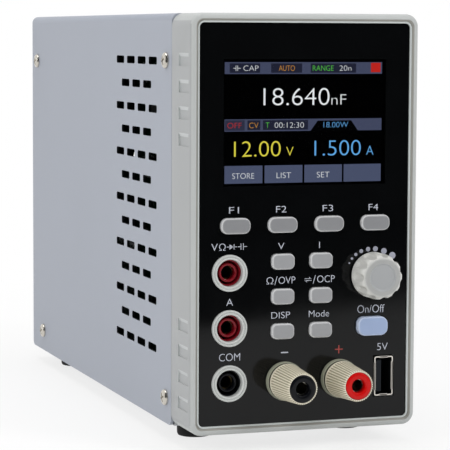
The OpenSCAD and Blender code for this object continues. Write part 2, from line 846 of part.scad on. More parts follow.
module jack_contacts() {
    color([0.8, 0.65, 0.35]) placed() for (p = jack_at) {
        difference() {
            bar(p[0], p[1], plug_r + contact_wall, contact_y + seam, jack_l - cup_floor);
            bar(p[0], p[1], plug_r, contact_y, jack_l - cup_floor - contact_floor);
        }
        bar(p[0], p[1], pin_r, jack_l - cup_floor - 0.2, jack_l + pin_l);
    }
}

module post_bases() {
    color([0.70, 0.71, 0.66]) placed() for (p = post_at) {
        difference() {
            turned(p[0], p[1]) polygon([[0, -base_t], [base_r - 0.5, -base_t], [base_r, -base_t + 0.5],
                [base_r, 0], [base_spigot_r, 0], [base_spigot_r, plate_back], [0, plate_back]]);
            bar(p[0], p[1], stud_r + running, -base_t - 1, plate_back + 1);
        }
    }
}

module post_studs() {
    color([0.82, 0.8, 0.74]) placed() for (p = post_at) {
        difference() {
            bar(p[0], p[1], stud_r, stud_recess - post_reach, plate_back + stud_tail);
            bar(p[0], p[1], stud_bore_r, -post_reach, plate_back);
            translate([p[0], -base_t - 2, p[1]]) cylinder(h = 4 * stud_r, r = wire_hole_r, center = true);
        }
    }
}

// A knurled cap that turns on its sleeve
module post_cap(p) {
    taper = atan((cap_rear_r - cap_front_r) / (cap_rear_y - cap_front_y));
    color([0.82, 0.78, 0.68]) placed() difference() {
        turned(p[0], p[1]) polygon([[0, cap_front_y], [cap_front_r - 0.5, cap_front_y],
            [cap_front_r - 0.1, cap_front_y + 0.4], [cap_rear_r, cap_rear_y - 0.6],
            [cap_rear_r - 0.4, cap_rear_y], [0, cap_rear_y]]);
        bar(p[0], p[1], sleeve_r + running, cap_front_y - 1, cap_rear_y + 1);
        bar(p[0], p[1], sleeve_r + 0.3 + running, cap_rear_y - 1.6, cap_rear_y + 1);
        for (i = [0:groove_count - 1]) {
            translate([p[0], 0, p[1]]) rotate([0, i * 360 / groove_count, 0]) {
                translate([cap_rear_r, cap_rear_y - 1.2, 0]) rotate([0, 0, -taper]) {
                    rotate([90, 0, 0]) cylinder(h = post_reach, r = groove_r, $fn = 16);
                }
            }
        }
    }
}

// The coloured sleeve inside a cap
module post_sleeve(p) {
    placed() difference() {
        turned(p[0], p[1]) polygon([[0, -post_reach + 0.3], [sleeve_hole_r, -post_reach + 0.3],
            [sleeve_hole_r + 0.5, -post_reach], [sleeve_r - 0.7, -post_reach],
            [sleeve_r - 0.2, -post_reach + 0.25], [sleeve_r, -post_reach + 0.8],
            [sleeve_r, cap_rear_y - 1.3], [sleeve_r + 0.3, cap_rear_y - 1.3],
            [sleeve_r + 0.3, cap_rear_y], [0, cap_rear_y]]);
        bar(p[0], p[1], sleeve_hole_r, -post_reach - 1, 0);
        bar(p[0], p[1], stud_r + seam, stud_recess - seam - post_reach, 0);
    }
}

module minus_post_cap() { post_cap(post_at[0]); }
module plus_post_cap() { post_cap(post_at[1]); }
module minus_post_sleeve() { color([0.09, 0.09, 0.1]) post_sleeve(post_at[0]); }
module plus_post_sleeve() { color([0.82, 0.1, 0.09]) post_sleeve(post_at[1]); }

module usb_shell() {
    color([0.8, 0.8, 0.8]) placed() difference() {
        slab(-0.2, usb_d) translate([usb_x, row_z]) round_rect(usb_w, usb_h, 0.8);
        slab(-1, usb_d - 2) translate([usb_x, row_z]) {
            round_rect(usb_w - 2 * usb_wall, usb_h - 2 * usb_wall, 0.4);
        }
    }
}

module usb_tongue() {
    color([0.08, 0.08, 0.08]) placed() slab(0.6, usb_d - 2) {
        translate([usb_x - usb_w / 2 + usb_wall + 0.6 + tongue_t / 2, row_z]) {
            square([tongue_t, usb_h - 2.6], center = true);
        }
    }
}

module front_board() {
    color([0.1, 0.35, 0.18]) placed() slab(board_y, board_y + board_t) difference() {
        square([case_w - 2 * wall_in - 2 * board_border, case_h - 2 * wall_in - 2 * board_border],
            center = true);
        for (p = jack_at) {
            translate(p) circle(barrel_r + seam);
        }
        for (p = post_at) {
            translate(p) circle(stud_r + 1);
        }
        translate([usb_x, row_z]) square([usb_w + 1, usb_h + 1], center = true);
        for (p = boss_at) {
            translate(p) circle(thread_r + pass_gap);
        }
    }
}

module tact_switches() {
    color([0.15, 0.15, 0.16]) placed() for (p = concat(fkey_at, key_at, [output_at])) {
        difference() {
            slab(switch_top_y, board_y) translate(p) square([tact_w, tact_w], center = true);
            bar(p[0], p[1], stem_r + seam, switch_top_y - 1, stem_end + key_travel + seam);
        }
    }
}

module meter_board() {
    x = barrel_r + 0.6 - jack_x;
    color([0.1, 0.35, 0.18]) placed() {
        translate([-x - board_t, board_y + board_t + seam, -meter_board_h / 2]) {
            cube([board_t, meter_board_rear - board_y - board_t - seam, meter_board_h]);
        }
    }
}

// The cover's outline across the case, cut to an inset
module cover_profile(inset) {
    top = case_h / 2 - inset;
    half = case_w / 2 - inset;
    r = max(fold_r - inset, 0.2);
    translate([-half, -case_h / 2 - 1]) square([2 * half, top + case_h / 2 + 1 - r]);
    translate([-half + r, top - r - 1]) square([2 * half - 2 * r, r + 1]);
    for (s = [-1, 1]) {
        translate([s * (half - r), top - r]) circle(r);
    }
}

module cover() {
    depth = case_d - bezel_d - seam;
    mid = bezel_d + seam + depth / 2;
    color([0.66, 0.68, 0.73]) placed() intersection() {
        difference() {
            slab(bezel_d + seam, case_d) difference() {
                cover_profile(0);
                cover_profile(sheet_t);
            }
            for (p = cover_screw_at) {
                translate([0, p[0], p[1]]) rotate([0, 90, 0]) {
                    cylinder(h = case_w + 2, r = thread_r + pass_gap, center = true);
                }
            }
            vent_slots();
        }
        translate([0, mid, 0]) rotate([90, 0, 90]) {
            linear_extrude(case_w + 2, center = true) {
                round_rect(depth, case_h, flank_r);
                translate([0, case_h / 4]) square([depth, case_h / 2 + 2], center = true);
            }
        }
    }
}

// Staggered rows of slots that go through both sides of the cover
module vent_slots() {
    for (row = [0:slot_rows - 1]) {
        short = row % 2;
        z = slot_mid_z + (row - (slot_rows - 1) / 2) * row_pitch;
        for (i = [0:slot_count - 1 - short]) {
            y = slot_front + (i + short / 2) * slot_pitch;
            translate([0, y, z]) rotate([90, 0, 90]) {
                linear_extrude(case_w + 2, center = true) round_rect(slot_l, slot_h, slot_r);
            }
        }
    }
}

module cover_screws() {
    color([0.8, 0.79, 0.76]) placed() for (s = [-1, 1], p = cover_screw_at) {
        translate([s * case_w / 2, p[0], p[1]]) rotate([0, 0, s * 90]) cross_screw(4);
    }
}

module chassis_tray() {
    front = bezel_d + seam;
    back = case_d - chassis_t - seam;
    color([0.62, 0.63, 0.65]) placed() difference() {
        union() {
            translate([-tray_x, front, tray_z]) cube([2 * tray_x, back - front, chassis_t]);
            for (s = [-1, 1]) {
                translate([s * (tray_x - chassis_t / 2) - chassis_t / 2, lip_end + seam, tray_z]) {
                    cube([chassis_t, back - lip_end - seam, flange_h]);
                }
            }
        }
        translate([0, cover_screw_at[3][0], cover_screw_at[3][1]]) rotate([0, 90, 0]) {
            cylinder(h = case_w, r = thread_r + tap_gap, center = true);
        }
        for (p = concat(foot_at, stand_at)) {
            translate([p[0], p[1], tray_z]) cylinder(h = 4 * chassis_t, r = thread_r + tap_gap, center = true);
        }
    }
}

// The screws inside and at the rear, and the nuts of the posts
module case_fasteners() {
    color([0.75, 0.75, 0.76]) placed() {
        for (p = post_at) {
            difference() {
                slab(plate_back + seam, plate_back + seam + nut_t) translate(p) circle(nut_r, $fn = 6);
                bar(p[0], p[1], stud_r + running, 0, plate_back + nut_t + 2);
            }
        }
        for (p = boss_at) {
            translate([p[0], board_y + board_t, p[1]]) rotate([0, 0, 180]) screw(4);
        }
        for (p = stand_at) {
            translate([p[0], p[1], board_top]) rotate([-90, 0, 0]) screw(3.4);
        }
        for (p = foot_at) {
            translate([p[0], p[1], tray_z - foot_h + foot_web]) rotate([90, 0, 0]) screw(foot_h);
        }
        for (x = [-1, 1], z = [-1, 1]) {
            translate([x * fan_pitch / 2, case_d + 2 * wire_r, fan_z + z * fan_pitch / 2]) {
                rotate([0, 0, 180]) screw(fan_screw_l);
            }
        }
    }
}

module rear_panel() {
    low = tray_z + chassis_t + seam;
    high = case_h / 2 - sheet_t - seam;
    color([0.64, 0.66, 0.7]) placed() difference() {
        union() {
            slab(rear_in, case_d) intersection() {
                cover_profile(sheet_t + seam);
                translate([0, (low + high) / 2]) square([2 * tray_x, high - low], center = true);
            }
            for (s = [-1, 1]) {
                translate([s * (tray_x - chassis_t / 2) - chassis_t / 2, case_d - rear_flange_d,
                    tray_z + flange_h + seam]) {
                    cube([chassis_t, rear_flange_d - chassis_t / 2, high - tray_z - flange_h - 8]);
                }
            }
        }
        slab(rear_in - 1, case_d + 1) {
            translate([0, fan_z]) circle(fan_bore_r);
            for (x = [-1, 1], z = [-1, 1]) {
                translate([x * fan_pitch / 2, fan_z + z * fan_pitch / 2]) circle(thread_r + pass_gap);
            }
            translate([inlet_x, mains_z]) square([inlet_w + 2 * seam, inlet_h + 2 * seam], center = true);
            translate([switch_x, mains_z]) square([switch_w + 2 * seam, switch_h + 2 * seam], center = true);
            translate([switch_x, selector_z]) {
                square([selector_w + 2 * seam, selector_h + 2 * seam], center = true);
            }
        }
        translate([0, cover_screw_at[2][0], cover_screw_at[2][1]]) rotate([0, 90, 0]) {
            cylinder(h = case_w, r = thread_r + tap_gap, center = true);
        }
    }
}

module feet() {
    color([0.1, 0.1, 0.1]) placed() for (p = foot_at) {
        translate([p[0], p[1], tray_z - foot_h]) rotate_extrude() {
            polygon([[2 * thread_r + 0.4, 0], [foot_tip_r - 0.5, 0], [foot_tip_r, 0.5], [foot_r, foot_h],
                [thread_r + tap_gap, foot_h], [thread_r + tap_gap, foot_web], [2 * thread_r + 0.4, foot_web]]);
        }
    }
}

module board_standoffs() {
    color([0.8, 0.7, 0.4]) placed() for (p = stand_at) {
        translate([p[0], p[1], tray_z + chassis_t]) difference() {
            cylinder(h = standoff_h, r = 2.9, $fn = 6);
            translate([0, 0, -1]) cylinder(h = standoff_h + 2, r = thread_r + 0.05);
        }
    }
}

module power_board() {
    color([0.1, 0.35, 0.18]) placed() difference() {
        translate([-power_board_w / 2, power_board_front, floor_z]) {
            cube([power_board_w, case_d - power_board_rear - power_board_front, board_t]);
        }
        for (p = stand_at) {
            translate([p[0], p[1], floor_z - 1]) cylinder(h = board_t + 2, r = thread_r + pass_gap);
        }
    }
}

module transformer_core() {
    color([0.2, 0.2, 0.21]) placed() translate([0, power_mid - core_back, board_top]) {
        difference() {
            translate([-core_w / 2, -core_d / 2, 0]) cube([core_w, core_d, core_h]);
            translate([core_limb - core_w / 2, -core_d / 2 - 1, core_limb]) {
                cube([core_w - 2 * core_limb, core_d + 2, core_h - 2 * core_limb]);
            }
        }
    }
}

module transformer_winding() {
    color([0.85, 0.75, 0.3]) placed() translate([0, power_mid - core_back, board_top]) {
        inset = core_limb + seam;
        translate([inset - core_w / 2, -core_d / 2 - winding_lap, inset]) {
            cube([core_w - 2 * inset, core_d + 2 * winding_lap, core_h - 2 * inset]);
        }
    }
}

module capacitors() {
    color([0.12, 0.12, 0.25]) placed() for (x = [-1, 1]) {
        translate([x * (cap_r + 0.5), power_mid + core_d / 2 + cap_r - 10, board_top]) rotate_extrude() {
            polygon([[0, 0], [cap_r, 0], [cap_r, 2], [cap_r - 0.5, 2.6], [cap_r, 3.2],
                [cap_r, cap_h - 0.6], [cap_r - 0.6, cap_h], [0, cap_h]]);
        }
    }
}

module heat_sinks() {
    pitch = (sink_l - fin_t) / (fin_count - 1);
    color([0.7, 0.71, 0.72]) placed() for (s = [-1, 1]) {
        translate([0, power_mid - sink_l / 2 - sink_back, board_top]) {
            translate([s > 0 ? sink_in : -sink_in - sink_wall, 0, 0]) cube([sink_wall, sink_l, sink_h]);
            for (i = [0:fin_count - 1]) {
                translate([s > 0 ? sink_in : -sink_out, i * pitch, sink_foot]) {
                    cube([sink_out - sink_in, fin_t, sink_h - sink_foot]);
                }
            }
        }
    }
}

module power_transistors() {
    color([0.12, 0.12, 0.12]) placed() for (s = [-1, 1], i = [-1, 1]) {
        x = s * (sink_in - 0.1 - transistor_t / 2);
        z = board_top + transistor_up + transistor_h / 2;
        translate([x, power_mid - sink_back + i * transistor_pitch / 2, z]) {
            cube([transistor_t, transistor_w, transistor_h], center = true);
        }
    }
}

module fan_frame() {
    color([0.1, 0.1, 0.1]) placed() difference() {
        union() {
            difference() {
                slab(fan_y, rear_in) translate([0, fan_z]) round_rect(fan_w, fan_w, 4);
                bar(0, fan_z, fan_bore_r, fan_y - 1, rear_in + 1);
            }
            bar(0, fan_z, hub_r, fan_y, fan_y + fan_hub_t);
            for (a = [45, 135, 225, 315]) {
                translate([0, fan_y + fan_hub_t / 2, fan_z]) rotate([0, a, 0]) {
                    translate([fan_bore_r / 2, 0, 0]) cube([fan_bore_r + 0.6, fan_hub_t, 4], center = true);
                }
            }
            bar(0, fan_z, fan_axle_r, fan_y, rear_in - 4);
        }
        for (x = [-1, 1], z = [-1, 1]) {
            bar(x * fan_pitch / 2, fan_z + z * fan_pitch / 2, thread_r + 0.05, fan_y - 1, rear_in + 1);
        }
    }
}

// The curved section of a fan blade as thickness and chord
module blade_section() {
    chord = [for (i = [-4:4]) i * fan_blade_l / 8];
    bow = [for (s = chord) (fan_blade_l * fan_blade_l / 8 - s * s) / (2 * blade_camber)];
    polygon(concat([for (i = [0:8]) [bow[i] + fan_blade_t / 2, chord[i]]],
        [for (i = [8:-1:0]) [bow[i] - fan_blade_t / 2, chord[i]]]));
}

module fan_rotor() {
    front = fan_y + fan_hub_t + seam;
    back = rear_in - 1.5;
    tip_r = fan_bore_r - tip_gap;
    color([0.12, 0.12, 0.12]) placed() {
        difference() {
            bar(0, fan_z, hub_r, front, back);
            bar(0, fan_z, fan_axle_r + running, front - 1, rear_in - 4 + seam);
        }
        for (i = [0:blade_count - 1]) {
            translate([0, (front + back) / 2, fan_z]) rotate([0, i * 360 / blade_count, 0]) {
                intersection() {
                    rotate([-blade_pitch, 0, 0]) rotate([90, 0, 90]) linear_extrude(tip_r) blade_section();
                    difference() {
                        bar(0, 0, tip_r, front - (front + back) / 2 + 0.8, back - (front + back) / 2 - 0.8);
                        bar(0, 0, hub_r - 1, -fan_d, fan_d);
                    }
                }
            }
        }
    }
}

module fan_guard() {
    step = (fan_bore_r - guard_in) / ring_count;
    y = case_d + wire_r;
    reach = fan_pitch / 2 * sqrt(2);
    color([0.8, 0.8, 0.8]) placed() translate([0, 0, fan_z]) {
        for (i = [1:ring_count]) {
            turned(0, 0) translate([guard_in + (i - 0.5) * step, y + wire_r]) circle(wire_r, $fn = 16);
        }
        for (a = [45, 135, 225, 315]) {
            rotate([0, a, 0]) difference() {
                union() {
                    translate([0, y, 0]) rotate([0, 90, 0]) {
                        translate([0, 0, guard_in - step / 2]) {
                            cylinder(h = reach - 6 + step / 2, r = wire_r, $fn = 16);
                        }
                    }
                    bar(reach, 0, guard_boss_r, case_d, case_d + 2 * wire_r);
                }
                bar(reach, 0, thread_r + pass_gap, case_d - 1, case_d + 4);
            }
        }
    }
}

// The inlet's opening with its two cut corners
module inlet_outline(w, h) {
    cut = 4;
    polygon([[-w / 2, -h / 2], [w / 2, -h / 2], [w / 2, h / 2 - cut], [w / 2 - cut, h / 2],
        [cut - w / 2, h / 2], [-w / 2, h / 2 - cut]]);
}

module inlet_housing() {
    color([0.08, 0.08, 0.08]) placed() difference() {
        union() {
            slab(case_d - inlet_d, case_d + 0.5) translate([inlet_x, mains_z]) {
                square([inlet_w, inlet_h], center = true);
            }
            slab(case_d, case_d + flange_t) translate([inlet_x, mains_z]) {
                round_rect(inlet_w + 2 * flange_lap, inlet_h + 2 * flange_lap, 1.5);
            }
        }
        slab(case_d + flange_t - cavity_d, case_d + 5) translate([inlet_x, cavity_z]) {
            inlet_outline(cavity_w, cavity_h);
        }
        slab(case_d + flange_t - drawer_travel - 5, case_d + 5) translate([inlet_x, drawer_z]) {
            square([drawer_w + 2 * seam, drawer_h + 2 * seam], center = true);
        }
        for (p = blade_at) {
            slab(case_d - inlet_d - 1, case_d) translate(p) {
                square([blade_t + 2 * running, blade_w + 2 * running], center = true);
            }
        }
    }
}

module inlet_blades() {
    color([0.82, 0.8, 0.72]) placed() for (p = blade_at) {
        slab(case_d - inlet_d - pin_in, case_d + flange_t - pin_out) translate(p) {
            square([blade_t, blade_w], center = true);
        }
    }
}

module fuse_drawer() {
    color([0.1, 0.1, 0.1]) placed() {
        slab(case_d + flange_t - drawer_travel - 4, case_d + flange_t) {
            translate([inlet_x, drawer_z]) square([drawer_w, drawer_h], center = true);
        }
        slab(case_d + flange_t, case_d + flange_t + tab_t) {
            translate([inlet_x, drawer_z]) square([8, drawer_h / 2], center = true);
        }
    }
}

module switch_housing() {
    color([0.08, 0.08, 0.08]) placed() difference() {
        union() {
            slab(case_d - switch_d, case_d + 0.5) translate([switch_x, mains_z]) {
                square([switch_w, switch_h], center = true);
            }
            slab(case_d, case_d + flange_t) translate([switch_x, mains_z]) {
                round_rect(switch_w + 2 * flange_lap, switch_h + 2 * flange_lap, 1.2);
            }
        }
        slab(case_d - 7, case_d + 5) translate([switch_x, mains_z]) {
            square([switch_w - 2.4, switch_h - 2.4], center = true);
        }
        translate([switch_x, case_d - rocker_in, mains_z]) rotate([0, 90, 0]) {
            cylinder(h = switch_w - 1.2, r = 1 + running, center = true);
        }
    }
}

module switch_rocker() {
    color([0.05, 0.05, 0.05]) placed() translate([switch_x, case_d - rocker_in, mains_z]) {
        rotate([-rocker_tilt, 0, 0]) {
            rotate([90, 0, 90]) linear_extrude(switch_w - 3, center = true) {
                polygon([[-rocker_back, rocker_slope - rocker_half], [rocker_side, -rocker_half],
                    [rocker_crest, -rocker_half], [rocker_dip, 0], [rocker_crest, rocker_half],
                    [rocker_side, rocker_half], [-rocker_back, rocker_half - rocker_slope]]);
            }
            rotate([0, 90, 0]) cylinder(h = switch_w - 1.6, r = 1, center = true);
        }
    }
}

module selector_housing() {
    slot = slider_w + selector_travel + 2 * seam;
    color([0.1, 0.1, 0.1]) placed() difference() {
        union() {
            slab(case_d - selector_d, case_d + 0.5) translate([switch_x, selector_z]) {
                square([selector_w, selector_h], center = true);
            }
            slab(case_d, case_d + 1) translate([switch_x, selector_z]) {
                round_rect(selector_w + 2 * flange_lap, selector_h + 2 * flange_lap, 1);
            }
        }
        slab(case_d - 3, case_d + 5) translate([switch_x, selector_z]) {
            square([slot, slider_w + 2 * seam], center = true);
        }
    }
}

module selector_slider() {
    x = switch_x - selector_travel / 2;
    color([0.75, 0.12, 0.1]) placed() difference() {
        slab(case_d - 3 + seam, case_d + 0.6) translate([x, selector_z]) {
            square([slider_w, slider_w], center = true);
        }
        slab(case_d - 0.4, case_d + 1) translate([x, selector_z]) {
            square([1.4, slider_w - 1.6], center = true);
        }
    }
}

front_bezel();
panel_plates();
socket_plates();
front_overlay();
display_window();
display_module();
f1_key();
f2_key();
f3_key();
f4_key();
voltage_key();
current_key();
ohms_key();
swap_key();
display_key();
mode_key();
output_key();
control_knob();
encoder_shaft();
encoder_rotor();
encoder_body();
jack_collars();
volts_jack_cup();
amps_jack_cup();
common_jack_cup();
jack_contacts();
post_bases();
post_studs();
minus_post_cap();
plus_post_cap();
minus_post_sleeve();
plus_post_sleeve();
usb_shell();
usb_tongue();
front_board();
tact_switches();
meter_board();
cover();
cover_screws();
chassis_tray();
case_fasteners();
rear_panel();
feet();
board_standoffs();
power_board();
transformer_core();
transformer_winding();
capacitors();
heat_sinks();
power_transistors();
fan_frame();
fan_rotor();
fan_guard();
inlet_housing();
inlet_blades();
fuse_drawer();
switch_housing();
switch_rocker();
selector_housing();
selector_slider();
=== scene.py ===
# Bench power supply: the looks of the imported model
import json
from math import atan2, cos, hypot, pi, radians, sin, sqrt

import bmesh
import bpy
from mathutils import Matrix, Vector


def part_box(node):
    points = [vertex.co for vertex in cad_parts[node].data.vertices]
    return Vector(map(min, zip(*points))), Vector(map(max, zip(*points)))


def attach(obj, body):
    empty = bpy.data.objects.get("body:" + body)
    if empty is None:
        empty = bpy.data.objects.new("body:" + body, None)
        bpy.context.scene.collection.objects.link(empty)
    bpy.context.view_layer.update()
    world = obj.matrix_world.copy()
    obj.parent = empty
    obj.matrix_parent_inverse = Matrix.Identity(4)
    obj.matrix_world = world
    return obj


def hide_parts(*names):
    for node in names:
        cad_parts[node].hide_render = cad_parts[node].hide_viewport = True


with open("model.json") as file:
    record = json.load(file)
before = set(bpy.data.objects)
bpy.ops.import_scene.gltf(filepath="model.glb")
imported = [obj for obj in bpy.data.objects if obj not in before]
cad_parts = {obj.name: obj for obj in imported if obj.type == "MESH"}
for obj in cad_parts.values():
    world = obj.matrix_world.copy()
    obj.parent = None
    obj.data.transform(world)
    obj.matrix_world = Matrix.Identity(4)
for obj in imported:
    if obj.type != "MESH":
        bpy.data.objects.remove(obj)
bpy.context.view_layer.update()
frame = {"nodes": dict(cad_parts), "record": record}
nodes = frame["nodes"]
mm = 0.001
slotOf = {part["node"]: part["material_slot"] for part in frame["record"]["subparts"]}
bodies = frame["record"]["behaviour"]["bodies"]
bodyOf = {node: body for body, members in bodies.items() for node in members}

# The overlay's front is the plane that the front pieces are measured from
overlayLow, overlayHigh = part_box("front_overlay")
panelMiddle = (overlayLow + overlayHigh) / 2
panelMiddle.y = overlayLow.y


def atPanel(x, y, z):
    return panelMiddle + Vector((x, y, z)) * mm


def middleOf(node):
    low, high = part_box(node)
    return (low + high) / 2


def fromPanel(point):
    return (point - panelMiddle) / mm


def linked(name, data):
    thing = bpy.data.objects.new(name, data)
    bpy.context.scene.collection.objects.link(thing)
    return thing


# Camera

cameraLook = {
    "place": (-252.64, -662.43, 63.64),  # mm from the overlay's middle
    "yaw": 18.69,  # degrees
    "pitch": 5.18,
    "roll": 0.26,
    "lens": 167.64,  # mm
    "sensor": 36,
}


def addCamera(look):
    data = bpy.data.cameras.new("camera")
    data.lens = look["lens"]
    data.sensor_width = look["sensor"]
    data.clip_start = 0.01
    camera = linked("camera", data)
    yaw, pitch, roll = (radians(look[turn]) for turn in ("yaw", "pitch", "roll"))
    turned = Matrix.Rotation(-yaw, 4, "Z") @ Matrix.Rotation(pi / 2 - pitch, 4, "X")
    turned = turned @ Matrix.Rotation(roll, 4, "Z")
    camera.matrix_world = Matrix.Translation(atPanel(*look["place"])) @ turned
    bpy.context.scene.camera = camera


addCamera(cameraLook)
bpy.context.scene.view_settings.view_transform = "Standard"
print("camera placed")


# Shader maths as Python sums

class Wire:
    def __init__(self, sheet, socket):
        self.sheet = sheet
        self.socket = socket

    def __add__(self, other):
        return self.sheet.maths("ADD", self, other)

    def __sub__(self, other):
        return self.sheet.maths("SUBTRACT", self, other)

    def __mul__(self, other):
        return self.sheet.maths("MULTIPLY", self, other)

    def __truediv__(self, other):
        return self.sheet.maths("DIVIDE", self, other)

    def __radd__(self, other):
        return self.sheet.maths("ADD", other, self)

    def __rsub__(self, other):
        return self.sheet.maths("SUBTRACT", other, self)

    def __rmul__(self, other):
        return self.sheet.maths("MULTIPLY", other, self)

    def __rtruediv__(self, other):
        return self.sheet.maths("DIVIDE", other, self)


class Sheet:
    def __init__(self, tree):
        self.tree = tree

    def feed(self, socket, value):
        if isinstance(value, Wire):
            self.tree.links.new(value.socket, socket)
        else:
            socket.default_value = value

    def node(self, kind, settings=None, sockets=None, out=0):
        made = self.tree.nodes.new("ShaderNode" + kind)
        for name, value in (settings or {}).items():
            setattr(made, name, value)
        for name, value in (sockets or {}).items():
            self.feed(made.inputs[name], value)
        return Wire(self, made.outputs[out])

    def maths(self, operation, *values):
        return self.node("Math", {"operation": operation}, dict(enumerate(values)))

    def clamp(self, value):
        return self.node("Clamp", sockets={"Value": value})

    def mix(self, share, first, second):
        return self.node("Mix", {"data_type": "RGBA"}, {0: share, 6: first, 7: second}, 2)

    def place(self, scale=(1, 1, 1)):
        spot = self.node("TexCoord", out="Object")
        return self.node("Mapping", sockets={"Vector": spot, "Scale": scale})

    def noise(self, size, detail=2, scale=(1, 1, 1)):
        # size is the width of a spot in mm
        sockets = {"Vector": self.place(scale), "Scale": 1 / (size * mm), "Detail": detail}
        return self.node("TexNoise", sockets=sockets)


def tint(code):
    # a written screen colour as the linear one that a socket holds
    parts = [int(code[i:i + 2], 16) / 255 for i in (0, 2, 4)]
    return tuple(p / 12.92 if p <= 0.04045 else ((p + 0.055) / 1.055) ** 2.4 for p in parts) + (1,)


def shaded(colour, share):
    return tuple(part * share for part in colour[:3]) + (1,)


shaderSockets = {
    "colour": "Base Color", "metal": "Metallic", "roughness": "Roughness", "normal": "Normal",
    "specular": "Specular IOR Level", "coat": "Coat Weight", "coatRoughness": "Coat Roughness",
    "clear": "Transmission Weight", "ior": "IOR",
    "glow": "Emission Color", "glowStrength": "Emission Strength",
}


class Finish(Sheet):
    def __init__(self, name, **values):
        self.material = bpy.data.materials.new(name)
        self.material.use_nodes = True
        super().__init__(self.material.node_tree)
        self.shader = self.tree.nodes["Principled BSDF"]
        self.paint(**values)

    def paint(self, **values):
        for name, value in values.items():
            self.feed(self.shader.inputs[shaderSockets[name]], value)

    def relief(self, height, depth):
        # depth in mm
        return self.node("Bump", sockets={"Height": height, "Distance": depth * mm})


# Finishes

plasticUsual = {
    "cloud": 18,  # mm
    "glossChange": 0.12, "specular": 0.5, "edge": None, "coat": 0, "coatRoughness": 0.08,
    "paintedHighlightGain": 3,  # how fast the edge tone, a painted highlight, comes in off the front
}
metalUsual = {"along": (1, 1, 1), "cloud": 9, "shade": 0.1, "depth": 0.004, "glossChange": 0.2}
plasticFields = ("colour", "roughness", "grain", "depth", "shade", "specular", "edge", "coat")
metalFields = ("colour", "roughness", "streak", "along", "cloud")


def moulded(name, look):
    # plastic with a fine grain, faint clouds of tone and a little variation in gloss, and where
    # it has an edge tone, that tone on all that doesn't face the front: a painted highlight, sides and rims
    # lighter as if lit more than the front
    look = {**plasticUsual, **dict(zip(plasticFields, look))}
    finish = Finish(name, specular=look["specular"], coat=look["coat"], coatRoughness=look["coatRoughness"])
    colour = tint(look["colour"])
    cloud = finish.noise(look["cloud"], 3)
    grain = finish.noise(look["grain"])
    tone = finish.mix(cloud, shaded(colour, 1 - look["shade"]), shaded(colour, 1 + look["shade"]))
    # the edge tone is painted light: a lighter tone on the sides than on the front
    if look["edge"]:
        normal = finish.node("TexCoord", out="Normal")
        facing = finish.node("VectorMath", {"operation": "DOT_PRODUCT"}, {0: normal, 1: (0, -1, 0)}, "Value")
        tone = finish.mix(finish.clamp((1 - facing) * look["paintedHighlightGain"]), tone, tint(look["edge"]))
    finish.paint(
        colour=tone,
        roughness=look["roughness"] + (cloud - 0.5) * look["glossChange"],
        normal=finish.relief(grain, look["depth"]),
    )
    return finish


def plated(name, look):
    # metal with fine streaks along one way
    look = {**metalUsual, **dict(zip(metalFields, look))}
    finish = Finish(name, metal=1)
    colour = tint(look["colour"])
    streak = finish.noise(look["streak"], 3, look["along"])
    cloud = finish.noise(look["cloud"], 3)
    finish.paint(
        colour=finish.mix(cloud, shaded(colour, 1 - look["shade"]), colour),
        roughness=look["roughness"] + (streak - 0.5) * look["glossChange"],
        normal=finish.relief(streak, look["depth"]),
    )
    return finish


def circuitBoard(name, look):
    # solder mask over copper tracks, with rows of tinned pads
    finish = Finish(name, specular=look["specular"])
    place = finish.place()
    tracks = finish.node("TexBrick", {"offset": 0.5}, {
        "Vector": place, "Scale": 1, "Brick Width": look["trackLength"] * mm,
        "Row Height": look["track"] * mm, "Mortar Size": look["gap"] * mm, "Mortar Smooth": 0.2}, "Fac")
    cells = {"Vector": place, "Scale": 1 / (look["pad"] * mm)}
    pads = finish.node("TexVoronoi", {"distance": "CHEBYCHEV"}, cells)
    pad = finish.maths("LESS_THAN", pads, look["padShare"])
    mask = finish.mix(tracks, tint(look["mask"]), tint(look["copper"]))
    finish.paint(
        colour=finish.mix(pad, mask, tint(look["tin"])),
        roughness=look["roughness"] + pad * 0.1,
        metal=pad * 0.9,
    )
    return finish


